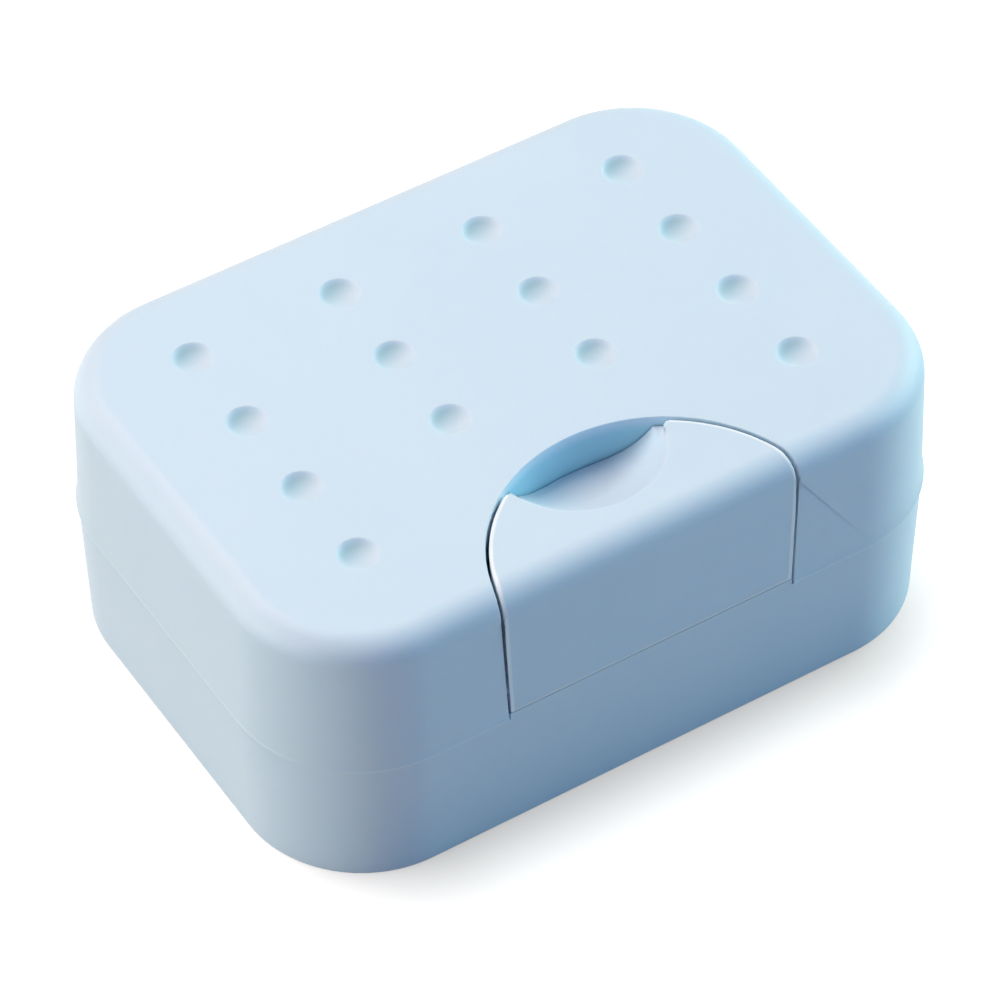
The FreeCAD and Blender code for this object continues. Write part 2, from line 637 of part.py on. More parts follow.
def latch_flap():
    """The latch: an arched flap with a finger dish, a heel that rolls on trunnions and a hook."""
    body = new_body("latch_flap")
    outline = new_sketch(body, "flap_outline", "XY_Plane", "body_height")
    corner_loop(outline, [
        (f"-{POCKET_RADIUS}", f"-{POCKET_OPEN_Y}", None),
        (POCKET_RADIUS, f"-{POCKET_OPEN_Y}", None),
        (POCKET_RADIUS, f"-({POCKET_Y} - {POCKET_RADIUS})", None),
        (f"-{POCKET_RADIUS}", f"-({POCKET_Y} - {POCKET_RADIUS})", None),
    ])
    feature(body, "Pad", "flap_block", outline, reversed_=True,
            Length=f"body_height - {PIVOT_Z} + heel_radius + heel_gap")
    hollow = new_sketch(body, "flap_hollow_outline", "XY_Plane", HEEL_TOP_Z)
    chord_loop(hollow, f"({FLAP_RADIUS} - {FLAP_NARROWING} - flap_skirt)", f"({TOP_FRONT_Y} - flap_wall)")
    cut(body, "Pocket", "flap_hollow", hollow, reversed_=True,
        Length=f"body_height - flap_wall - {HEEL_TOP_Z}")

    shell = new_sketch(body, "dish_back_outline", "XY_Plane", "body_height")
    ring(shell, "0", f"-{DISH_Y}", "dish_radius + dish_wall")
    feature(body, "Pad", "dish_back", shell, reversed_=True, TaperAngle="-dish_back_slope",
            Length="dish_depth + dish_wall")
    turned_arch(body)
    shelf = new_sketch(body, "flap_shelf_outline", "YZ_Plane")
    corner_loop(shelf, [
        (f"-{FLAP_BACK_Y}", FLAP_SHELF_Z, None),
        (f"-{FLAP_BACK_Y}", "(parting_height - overrun)", None),
        ("0", "(parting_height - overrun)", None),
        ("0", FLAP_SHELF_Z, None),
    ])
    cut(body, "Pocket", "flap_shelf", shelf, midplane=True, Length=f"2 * {POCKET_RADIUS}")
    skin = new_sketch(body, "flap_skin_outline", "YZ_Plane")
    corner_loop(skin, [
        (f"-{FRONT_Y}", "parting_height", None),
        (f"-{TOP_FRONT_Y}", "body_height", "lid_top_round"),
        ("overrun", "body_height", None),
        ("overrun", f"({DISH_Z} + {DISH_SPHERE} + overrun)", None),
        (f"-({POCKET_OPEN_Y} + overrun)", f"({DISH_Z} + {DISH_SPHERE} + overrun)", None),
        (f"-({POCKET_OPEN_Y} + overrun)", "parting_height", None),
    ])
    cut(body, "Pocket", "flap_skin", skin, midplane=True, Length=f"2 * {POCKET_RADIUS}")
    heel = new_sketch(body, "heel_outline", "YZ_Plane")
    below_heel_loop(heel)
    cut(body, "Pocket", "heel", heel, midplane=True, Length=f"2 * {POCKET_RADIUS}")
    ball(body, "dish", "0", f"-{DISH_Y}", DISH_Z, DISH_SPHERE)

    hook = new_sketch(body, "hook_outline", "YZ_Plane")
    hook_loop(hook)
    feature(body, "Pad", "hook", hook, midplane=True, Length="catch_width")
    trunnion = new_sketch(body, "trunnion_outline", "YZ_Plane")
    ring(trunnion, f"-{PIVOT_Y}", PIVOT_Z, "trunnion_radius")
    feature(body, "Pad", "trunnions", trunnion, midplane=True, Length=f"2 * {TRUNNION_HALF}")
    return body


def turned_arch(body):
    """Turn away what lies outside the flap's arch, a cone about the pocket's upright axis."""
    profile = new_sketch(body, "arch_profile", "YZ_Plane")
    profile.setExpression("AttachmentOffset.Base.x", full("-" + POCKET_Y))
    top, low = "(body_height + overrun)", "(parting_height - overrun)"
    corner_loop(profile, [
        (f"({FLAP_RADIUS} + overrun * tan(pocket_draft * 1deg))", top, None),
        (f"(2 * {POCKET_RADIUS})", top, None),
        (f"(2 * {POCKET_RADIUS})", low, None),
        (f"({FLAP_RADIUS} - (body_height - {low}) * tan(pocket_draft * 1deg))", low, None),
    ])
    item = body.newObject("PartDesign::Groove", "arch")
    item.Profile = profile
    item.ReferenceAxis = (profile, ["V_Axis"])
    finish(body, item)


def below_heel_loop(sketch):
    """Draw the area round the underside of the heel, whose arc is centred on the pivot."""
    y, z, r = -value(PIVOT_Y), value(PIVOT_Z), value("heel_radius")
    out = r + value("overrun")
    places = [Vector(y + r, z, 0), Vector(y + out, z, 0), Vector(y + out, z - out, 0),
              Vector(y - out, z - out, 0), Vector(y - out, z, 0), Vector(y - r, z, 0)]
    sides = [sketch.addGeometry(Part.LineSegment(a, b), False) for a, b in zip(places, places[1:])]
    arc = arc_between(sketch, "-" + PIVOT_Y, PIVOT_Z, "heel_radius", places[-1],
                      Vector(y, z - r, 0), places[0])
    for before, after, place in zip([arc] + sides, sides + [arc], places):
        joined(sketch, before, after, place)
    for side in (sides[0], sides[2], sides[4]):
        sketch.addConstraint(Sketcher.Constraint("Horizontal", side))
    for side in (sides[1], sides[3]):
        sketch.addConstraint(Sketcher.Constraint("Vertical", side))
    hold(sketch, "DistanceY", -1, 1, sides[0], 1, text=PIVOT_Z)
    hold(sketch, "DistanceY", -1, 1, sides[4], 1, text=PIVOT_Z)
    hold(sketch, "DistanceX", sides[0], 1, sides[0], 2, text="overrun")
    hold(sketch, "DistanceX", sides[4], 1, sides[4], 2, text="overrun")
    hold(sketch, "DistanceY", sides[1], 2, sides[1], 1, text="heel_radius + overrun")


def hook_loop(sketch):
    """Draw the flap's hook: a blade below the heel with a wedge nose under the ledge."""
    low = f"({NOSE_Z} - catch_nose_height)"
    corner_loop(sketch, [
        (f"-{BLADE_FRONT_Y}", HEEL_TOP_Z, None),
        (f"-{BLADE_FRONT_Y}", NOSE_Z, None),
        (f"-{NOSE_Y}", NOSE_Z, None),
        (f"-{NOSE_Y}", f"({NOSE_Z} - catch_nose_height * catch_tip_share)", None),
        (f"-{BLADE_FRONT_Y}", low, None),
        (f"-{BLADE_BACK_Y}", low, None),
        (f"-{BLADE_BACK_Y}", HEEL_TOP_Z, None),
    ])


def seal_ring():
    """The soft seal: a band round the base's collar, pressed by the ceiling of the rebate."""
    body = new_body("seal_ring")
    band = new_sketch(body, "seal_outline", "XY_Plane", RIM_Z)
    rim_loop(band, SEAL_INSET)
    rim_loop(band, COLLAR_INSET)
    feature(body, "Pad", "seal_band", band, Length="seal_height")
    return body


def hinge_pin(name, side):
    """One hinge pin, a plain rod, on the side given by sign."""
    body = new_body(name)
    section = new_sketch(body, f"{name}_outline", "YZ_Plane", f"({side}{HINGE_X})")
    ring(section, HINGE_Y, "parting_height", "pin_radius")
    feature(body, "Pad", f"{name}_rod", section, midplane=True, Length=f"2 * {PIN_HALF}")
    return body


def drain_tray():
    """The lift-out tray: a slotted plate with ribs that keep the soap up, on four feet."""
    body = new_body("drain_tray")
    plate = new_sketch(body, "tray_outline", "XY_Plane", TRAY_Z)
    corner_loop(plate, [
        (TRAY_HALF_X, f"-{TRAY_FRONT_Y}", "tray_corner_radius"),
        (TRAY_HALF_X, TRAY_BACK_Y, "tray_corner_radius"),
        (f"-{TRAY_HALF_X}", TRAY_BACK_Y, "tray_corner_radius"),
        (f"-{TRAY_HALF_X}", f"-{TRAY_FRONT_Y}", "tray_corner_radius"),
    ])
    feature(body, "Pad", "tray_plate_pad", plate, Length="tray_plate")

    slots = new_sketch(body, "slot_outlines", "XY_Plane", TRAY_TOP_Z)
    first_x = "(slot_pitch * %d / 2)" % (SLOTS_IN_ROW - 1)
    for near, far in (("slot_row_gap / 2", "slot_row_gap / 2 + slot_length"),
                      ("-slot_row_gap / 2 - slot_length", "-slot_row_gap / 2")):
        corner_loop(slots, [
            (f"-{first_x} - slot_width / 2", f"{TRAY_MIDDLE_Y} + {near}", None),
            (f"-{first_x} + slot_width / 2", f"{TRAY_MIDDLE_Y} + {near}", None),
            (f"-{first_x} + slot_width / 2", f"{TRAY_MIDDLE_Y} + {far}", None),
            (f"-{first_x} - slot_width / 2", f"{TRAY_MIDDLE_Y} + {far}", None),
        ])
    first_slots = cut(body, "Pocket", "slots", slots, Length="tray_plate + overrun")
    across = row(body, "slots_across", "X_Axis", SLOTS_IN_ROW, "slot_pitch * %d" % (SLOTS_IN_ROW - 1))
    across.Originals = [first_slots]
    doc.recompute()
    body.Tip = across

    reach = "(slot_length + slot_row_gap / 2)"
    rib = new_sketch(body, "rib_outline", "XY_Plane", TRAY_TOP_Z)
    rib_x = "(slot_pitch * %d / 2)" % SLOTS_IN_ROW
    corner_loop(rib, [
        (f"-{rib_x} - rib_width / 2", f"{TRAY_MIDDLE_Y} - {reach}", None),
        (f"-{rib_x} + rib_width / 2", f"{TRAY_MIDDLE_Y} - {reach}", None),
        (f"-{rib_x} + rib_width / 2", f"{TRAY_MIDDLE_Y} + {reach}", None),
        (f"-{rib_x} - rib_width / 2", f"{TRAY_MIDDLE_Y} + {reach}", None),
    ])
    first_rib = feature(body, "Pad", "ribs", rib, Length="rib_height")
    ribs = row(body, "ribs_across", "X_Axis", SLOTS_IN_ROW + 1, "slot_pitch * %d" % SLOTS_IN_ROW)
    ribs.Originals = [first_rib]
    doc.recompute()
    body.Tip = ribs

    feet = new_sketch(body, "foot_outlines", "XY_Plane", "floor_wall")
    foot_x = f"({TRAY_HALF_X} - foot_inset)"
    foot_y = f"({TRAY_BACK_Y} - foot_inset)"
    for side_x in ("", "-"):
        for side_y in ("", "-"):
            middle_x, middle_y = side_x + foot_x, side_y + foot_y
            corner_loop(feet, [
                (f"{middle_x} - foot_length / 2", f"{middle_y} - foot_width / 2", None),
                (f"{middle_x} + foot_length / 2", f"{middle_y} - foot_width / 2", None),
                (f"{middle_x} + foot_length / 2", f"{middle_y} + foot_width / 2", None),
                (f"{middle_x} - foot_length / 2", f"{middle_y} + foot_width / 2", None),
            ])
    feature(body, "Pad", "feet", feet, Length="tray_lift")
    return body


PIECES = [
    base_shell(),
    lid_shell(),
    latch_flap(),
    seal_ring(),
    hinge_pin("hinge_pin_left", "-"),
    hinge_pin("hinge_pin_right", ""),
    drain_tray(),
]
doc.recompute()
for item in doc.Objects:
    if "Invalid" in item.State or "Error" in item.State:
        raise ValueError("%s did not build" % item.Name)
for piece in PIECES:
    if piece.Shape.isNull() or not piece.Shape.isValid() or len(piece.Shape.Solids) != 1:
        raise ValueError("%s is not one sound solid" % piece.Label)

os.makedirs("parts", exist_ok=True)
for piece in PIECES:
    piece.Shape.exportStep("parts/%s.step" % piece.Label)
    print(piece.Label, round(piece.Shape.Volume), piece.Shape.BoundBox)
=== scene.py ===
import logging
import math
from dataclasses import dataclass, field
from enum import Enum
from typing import Any, Callable, Iterable, Sequence

import bmesh
import bpy
from mathutils import Matrix, Vector


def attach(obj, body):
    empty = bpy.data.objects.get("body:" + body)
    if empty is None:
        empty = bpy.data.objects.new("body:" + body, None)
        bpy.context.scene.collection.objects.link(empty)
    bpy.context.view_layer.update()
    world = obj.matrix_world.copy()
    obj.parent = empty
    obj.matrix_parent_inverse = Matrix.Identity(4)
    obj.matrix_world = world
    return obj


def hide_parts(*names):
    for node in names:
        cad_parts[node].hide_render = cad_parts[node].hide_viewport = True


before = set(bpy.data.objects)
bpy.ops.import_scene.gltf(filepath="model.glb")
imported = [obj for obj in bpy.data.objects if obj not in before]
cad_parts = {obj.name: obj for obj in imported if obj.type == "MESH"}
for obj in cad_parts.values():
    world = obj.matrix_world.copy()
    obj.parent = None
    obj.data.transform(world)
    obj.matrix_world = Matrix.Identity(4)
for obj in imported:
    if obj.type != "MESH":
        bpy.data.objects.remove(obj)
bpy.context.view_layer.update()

LOG = logging.getLogger("soap_box")
MM = 0.001
# In millimetres, like all sizes of the pieces
NEAR = 0.01  # places closer than this count as one
BESIDE = 0.03  # a corner this close to a wall belongs to it
OVER = 2.0  # how far tools reach past what they cut
LAP = 0.5  # how far joined parts reach into each other

FACING = 0.9  # a face looks along an axis if its normal has this much of it

Colour = tuple[float, float, float, float]
Span = tuple[float, float]
Box = tuple[tuple[float, float, float], tuple[float, float, float]]


# Shader maths

class Value:
    """A number output in a node tree, with arithmetic that adds Math nodes."""

    def __init__(self, tree: "Shader", socket: bpy.types.NodeSocket) -> None:
        """Wrap a socket.

        Args:
            tree: the shader that the socket belongs to.
            socket: an output socket that carries a number.
        """
        self.tree = tree
        self.socket = socket

    def _math(self, operation: str, *others: "Value | float") -> "Value":
        """Add a Math node on this value.

        Args:
            operation: the node's operation.
            others: its further inputs.

        Returns:
            The node's result.
        """
        node = self.tree.add("ShaderNodeMath", {"operation": operation})
        for slot, item in enumerate((self, *others)):
            self.tree.feed(node.inputs[slot], item)
        return Value(self.tree, node.outputs[0])

    def __add__(self, other: "Value | float") -> "Value":
        """Sum."""
        return self._math("ADD", other)

    def __mul__(self, other: "Value | float") -> "Value":
        """Product."""
        return self._math("MULTIPLY", other)

    def __sub__(self, other: "Value | float") -> "Value":
        """Difference."""
        return self._math("SUBTRACT", other)

    def __rsub__(self, other: float) -> "Value":
        """Difference from a plain number."""
        return self._math("MULTIPLY", -1.0)._math("ADD", other)

    def root(self) -> "Value":
        """The square root."""
        return self._math("SQRT")

    def larger(self, other: float) -> "Value":
        """The larger of this and a number."""
        return self._math("MAXIMUM", other)

    def nearest(self, place: float, pitch: float) -> "Value":
        """The signed offset from the nearest of a row of places, of which one is given."""
        return (self - place)._math("WRAP", pitch / 2, -pitch / 2)

    def absolute(self) -> "Value":
        """Size without sign."""
        return self._math("ABSOLUTE")

    def ramp(self, low: float, high: float) -> "Value":
        """Go smoothly from 0 to 1.

        Args:
            low: value that gives 0.
            high: value that gives 1.

        Returns:
            The eased value.
        """
        node = self.tree.add(
            "ShaderNodeMapRange",
            {"interpolation_type": "SMOOTHSTEP", "clamp": True},
            {"From Min": low, "From Max": high, "Value": self},
        )
        return Value(self.tree, node.outputs["Result"])


class Shader:
    """Builds one material's node tree."""

    def __init__(self, name: str) -> None:
        """Start an empty node tree.

        Args:
            name: the material's name.
        """
        self.material = bpy.data.materials.new(name)
        self.material.use_nodes = True
        self.tree = self.material.node_tree
        self.tree.nodes.clear()
        self.output = self.add("ShaderNodeOutputMaterial")

    def feed(self, socket: bpy.types.NodeSocket, item: Any) -> None:
        """Link a value or socket to an input, or set the input's own number or colour.

        Args:
            socket: the input.
            item: what goes in.
        """
        if isinstance(item, Value):
            self.tree.links.new(item.socket, socket)
        elif isinstance(item, bpy.types.NodeSocket):
            self.tree.links.new(item, socket)
        else:
            socket.default_value = item

    def add(
        self,
        kind: str,
        settings: dict[str, Any] | None = None,
        inputs: dict[str | int, Any] | None = None,
    ) -> bpy.types.Node:
        """Add any node.

        Args:
            kind: the node's type.
            settings: the node's own settings, set first.
            inputs: numbers, colours, values or sockets for its inputs.

        Returns:
            The node.
        """
        node = self.tree.nodes.new(kind)
        for name, setting in (settings or {}).items():
            setattr(node, name, setting)
        for name, item in (inputs or {}).items():
            self.feed(node.inputs[name], item)
        return node

    def place(self) -> bpy.types.NodeSocket:
        """The point on the piece, in its own metres."""
        return self.add("ShaderNodeTexCoord").outputs["Object"]

    def axis(self, name: str) -> Value:
        """One coordinate of the point on the piece, in millimetres."""
        split = self.add("ShaderNodeSeparateXYZ", inputs={0: self.place()})
        return Value(self, split.outputs[name]) * (1 / MM)

    def noise(self, scale: float, detail: float, roughness: float = 0.5) -> Value:
        """Cloudy noise around 0.5: blotches per metre, number of finer layers and their weight."""
        node = self.add(
            "ShaderNodeTexNoise",
            {"noise_dimensions": "3D"},
            {"Vector": self.place(), "Scale": scale, "Detail": detail, "Roughness": roughness},
        )
        return Value(self, node.outputs[0])

    def blend(self, factor: Value | float, low: Any, high: Any) -> bpy.types.NodeSocket:
        """Mix two colours.

        Args:
            factor: 0 gives low, 1 gives high.
            low: colour or socket.
            high: colour or socket.

        Returns:
            The mixed colour.
        """
        node = self.add("ShaderNodeMix", {"data_type": "RGBA", "clamp_factor": True})
        self.feed(node.inputs["Factor"], factor)
        self.feed(node.inputs[6], low)
        self.feed(node.inputs[7], high)
        return node.outputs[2]

    def bump(self, height: Value, depth: float) -> bpy.types.NodeSocket:
        """A normal that is bumped by a height, of which 1 stands for so many metres."""
        node = self.add("ShaderNodeBump", inputs={"Strength": 1.0, "Distance": depth, "Height": height})
        return node.outputs["Normal"]

    def principled(self, inputs: dict[str, Any]) -> bpy.types.Material:
        """Finish the material with one Principled surface."""
        settings = {"subsurface_method": "RANDOM_WALK"}
        return self.finish(self.add("ShaderNodeBsdfPrincipled", settings, inputs).outputs[0])

    def finish(self, surface: bpy.types.NodeSocket) -> bpy.types.Material:
        """Connect the surface and hand over the material."""
        self.tree.links.new(surface, self.output.inputs["Surface"])
        return self.material


# Workshop

class Cut(Enum):
    """How a tool acts on a piece."""

    AWAY = "DIFFERENCE"
    JOIN = "UNION"
    KEEP = "INTERSECT"


class Part(Enum):
    """What is picked out of a mesh."""

    CORNERS = "VERT"
    EDGES = "EDGE"
    FACES = "FACE"


def metres(place: Iterable[float]) -> list[float]:
    """A place given in millimetres."""
    return [item * MM for item in place]


def deselect() -> None:
    """Leave edit mode and deselect everything."""
    if bpy.context.object and bpy.context.object.mode != "OBJECT":
        bpy.ops.object.mode_set(mode="OBJECT")
    bpy.ops.object.select_all(action="DESELECT")


class Moulding:
    """A mesh that is modelled step by step. All its lengths are millimetres."""

    def __init__(self, name: str) -> None:
        """Take up the primitive that was just added.

        Args:
            name: the piece's name.
        """
        self.thing = bpy.context.active_object
        self.thing.name = name
        self.thing.data.name = name
        bpy.ops.object.transform_apply(location=True, rotation=True, scale=True)

    @classmethod
    def add(cls, name: str, operator: Callable[..., Any], middle: Sequence[float],
            **settings: Any) -> "Moulding":
        """Add a primitive.

        Args:
            name: its name.
            operator: the operator that adds it.
            middle: its middle.
            settings: the operator's settings, in metres.

        Returns:
            The primitive, ready to be shaped.
        """
        deselect()
        operator(location=metres(middle), **settings)
        return cls(name)

    @classmethod
    def block(cls, name: str, low: Sequence[float], high: Sequence[float]) -> "Moulding":
        """A block between two corners."""
        return cls.add(name, bpy.ops.mesh.primitive_cube_add, [(a + b) / 2 for a, b in zip(low, high)],
                       size=1.0, scale=metres(b - a for a, b in zip(low, high)))

    @classmethod
    def rod(cls, name: str, middle: Sequence[float], radius: float, length: float) -> "Moulding":
        """A round rod that lies across the box."""
        return cls.add(name, bpy.ops.mesh.primitive_cylinder_add, middle, vertices=64,
                       radius=radius * MM, depth=length * MM, rotation=(0.0, math.pi / 2, 0.0))

    @classmethod
    def disc(cls, name: str, middle: Sequence[float], radius: float, sides: int) -> "Moulding":
        """A flat disc that faces up."""
        return cls.add(name, bpy.ops.mesh.primitive_circle_add, middle, vertices=sides,
                       radius=radius * MM, fill_type="NGON")

    @classmethod
    def sheet(cls, name: str, half_x: float, half_y: float, z: float) -> "Moulding":
        """A flat rectangle about the upright axis.

        Args:
            name: its name.
            half_x: half its width.
            half_y: half its depth.
            z: its height.

        Returns:
            The sheet, which faces up.
        """
        deselect()
        bpy.ops.mesh.primitive_plane_add(size=2.0, location=(0, 0, z * MM))
        bpy.context.active_object.scale = (half_x * MM, half_y * MM, 1.0)
        return cls(name)

    def pick(self) -> None:
        """Select this piece alone, in object mode."""
        deselect()
        self.thing.select_set(True)
        bpy.context.view_layer.objects.active = self.thing

    def edit(self) -> bmesh.types.BMesh:
        """Enter edit mode with nothing selected."""
        if bpy.context.object is not self.thing or self.thing.mode != "EDIT":
            self.pick()
            bpy.ops.object.mode_set(mode="EDIT")
        bpy.ops.mesh.select_all(action="DESELECT")
        return bmesh.from_edit_mesh(self.thing.data)

    def everything(self) -> "Moulding":
        """Select the whole mesh in edit mode."""
        self.edit()
        bpy.ops.mesh.select_all(action="SELECT")
        return self

    def choose(self, part: Part, test: Callable[[Any], bool]) -> "Moulding":
        """Select the corners, edges or faces that pass a test.

        Args:
            part: which of them.
            test: takes one of them, as the mesh holds it.

        Returns:
            The moulding itself.
        """
        mesh = self.edit()
        bpy.ops.mesh.select_mode(type=part.value)
        for item in {Part.CORNERS: mesh.verts, Part.EDGES: mesh.edges, Part.FACES: mesh.faces}[part]:
            item.select_set(test(item))
        bmesh.update_edit_mesh(self.thing.data)
        return self

    def corners(self, test: Callable[[Vector], bool]) -> "Moulding":
        """Select the corners whose place passes a test."""
        return self.choose(Part.CORNERS, lambda corner: test(corner.co / MM))

    def edges(self, test: Callable[[Vector, Vector], bool], sharper: float = 0.0) -> "Moulding":
        """Select the edges whose ends pass a test and whose angle in degrees is sharper than a limit."""
        return self.choose(Part.EDGES, lambda edge: math.degrees(edge.calc_face_angle(math.pi)) > sharper
                           and test(*(end.co / MM for end in edge.verts)))

    def faces(self, test: Callable[[Vector, Vector], bool]) -> "Moulding":
        """Select the faces whose middle and normal pass a test."""
        return self.choose(Part.FACES, lambda face: test(face.calc_center_median() / MM, face.normal))

    def level(self, *heights: float) -> "Moulding":
        """Select the edges that lie level at one of some heights."""
        return self.edges(lambda a, b: any(at_height(a, z) and at_height(b, z) for z in heights))

    def bevel(self, width: float, segments: int, corners: bool = False) -> "Moulding":
        """Round what is selected."""
        bpy.ops.mesh.bevel(
            offset=width * MM, offset_type="OFFSET", segments=segments, profile=0.5,
            affect="VERTICES" if corners else "EDGES", clamp_overlap=False)
        return self

    def extrude(self, x: float = 0.0, y: float = 0.0, z: float = 0.0) -> "Moulding":
        """Draw out what is selected."""
        bpy.ops.mesh.extrude_region_move(TRANSFORM_OT_translate={"value": metres((x, y, z))})
        return self

    def move(self, x: float = 0.0, y: float = 0.0, z: float = 0.0) -> "Moulding":
        """Move what is selected."""
        bpy.ops.transform.translate(value=metres((x, y, z)))
        return self

    def loft(self, steps: Iterable[Span]) -> "Moulding":
        """Raise a flat sheet in steps that also draw its edge in, and close its underside.

        Args:
            steps: how far each goes in and up; a step down is negative.

        Returns:
            The moulding itself.
        """
        self.faces(lambda middle, normal: True)
        for inward, rise in steps:
            bpy.ops.mesh.inset(thickness=inward * MM, depth=rise * MM, use_boundary=True,
                               use_even_offset=True)
        self.choose(Part.EDGES, lambda edge: edge.is_boundary)
        bpy.ops.mesh.edge_face_add()
        return self.right_side_out()

    def thicken(self, rise: float) -> "Moulding":
        """Make a flat sheet a straight block."""
        return self.everything().extrude(z=rise).right_side_out()

    def slice(self, place: Sequence[float], normal: Sequence[float], fill: bool = True) -> "Moulding":
        """Cut off and close what lies on the normal's side of a plane, or only score the mesh."""
        self.everything()
        bpy.ops.mesh.bisect(plane_co=metres(place), plane_no=normal, use_fill=fill, clear_outer=fill)
        return self

    def right_side_out(self) -> "Moulding":
        """Turn every face outwards."""
        self.everything()
        bpy.ops.mesh.normals_make_consistent(inside=False)
        return self

    def cut(self, tool: "Moulding", how: Cut = Cut.AWAY) -> "Moulding":
        """Let a tool act on the piece, and put the tool away.

        Args:
            tool: the tool, which is used up.
            how: how it acts.

        Returns:
            The moulding itself.
        """
        self.pick()
        bpy.ops.object.modifier_add(type="BOOLEAN")
        step = self.thing.modifiers[-1]
        step.operation, step.solver, step.object = how.value, "EXACT", tool.thing
        bpy.ops.object.modifier_apply(modifier=step.name)
        tool.pick()
        bpy.ops.object.delete()
        return self

    def tidy(self, near: float = 0.004, flat: float = 0.3) -> "Moulding":
        """Merge doubled corners, dissolve edges that lie in a flat face and drop loose parts.

        Args:
            near: corners closer than this are one.
            flat: angle in degrees up to which neighbouring faces are one.

        Returns:
            The moulding itself.
        """
        self.everything()
        bpy.ops.mesh.remove_doubles(threshold=near * MM)
        bpy.ops.mesh.dissolve_limited(angle_limit=math.radians(flat), use_dissolve_boundaries=False)
        bpy.ops.mesh.delete_loose()
        return self

    def polish(self, material: bpy.types.Material, smooth: float = 34.0) -> bpy.types.Object:
        """Shade the piece smoothly, keep its flat faces flat, and dress it.

        Args:
            material: the finish.
            smooth: edges blunter than this, in degrees, are shaded smooth.

        Returns:
            The finished object.
        """
        self.pick()
        bpy.ops.object.shade_smooth_by_angle(angle=math.radians(smooth))
        bpy.ops.object.modifier_add(type="WEIGHTED_NORMAL")
        step = self.thing.modifiers[-1]
        step.keep_sharp = True
        step.weight = 80
        bpy.ops.object.modifier_apply(modifier=step.name)
        self.thing.data.materials.clear()
        self.thing.data.materials.append(material)
        return self.thing


def rounded_sheet(name: str, half_x: float, half_y: float, radius: float, z: float,
                  segments: int = 24) -> Moulding:
    """A flat rectangle with round corners."""
    sheet = Moulding.sheet(name, half_x, half_y, z).corners(lambda place: True)
    return sheet.bevel(radius, segments, corners=True)


def at_height(place: Vector, z: float) -> bool:
    """Whether a place lies at a height."""
    return abs(place.z - z) < NEAR


def ring_steps(rings: Sequence[Span]) -> list[Span]:
    """Steps in and up from each ring to the next, where a ring is a radius and a height."""
    return [(outer[0] - inner[0], inner[1] - outer[1]) for outer, inner in zip(rings, rings[1:])]


def arc_steps(radius: float, count: int) -> list[Span]:
    """Steps in and up along a quarter round.

    Args:
        radius: the round's radius.
        count: number of steps.

    Returns:
        How far each step goes in and up.
    """
    turns = [math.radians(90.0 * item / count) for item in range(count + 1)]
    return ring_steps([(radius * math.cos(turn), radius * math.sin(turn)) for turn in turns])


# Shared sizes

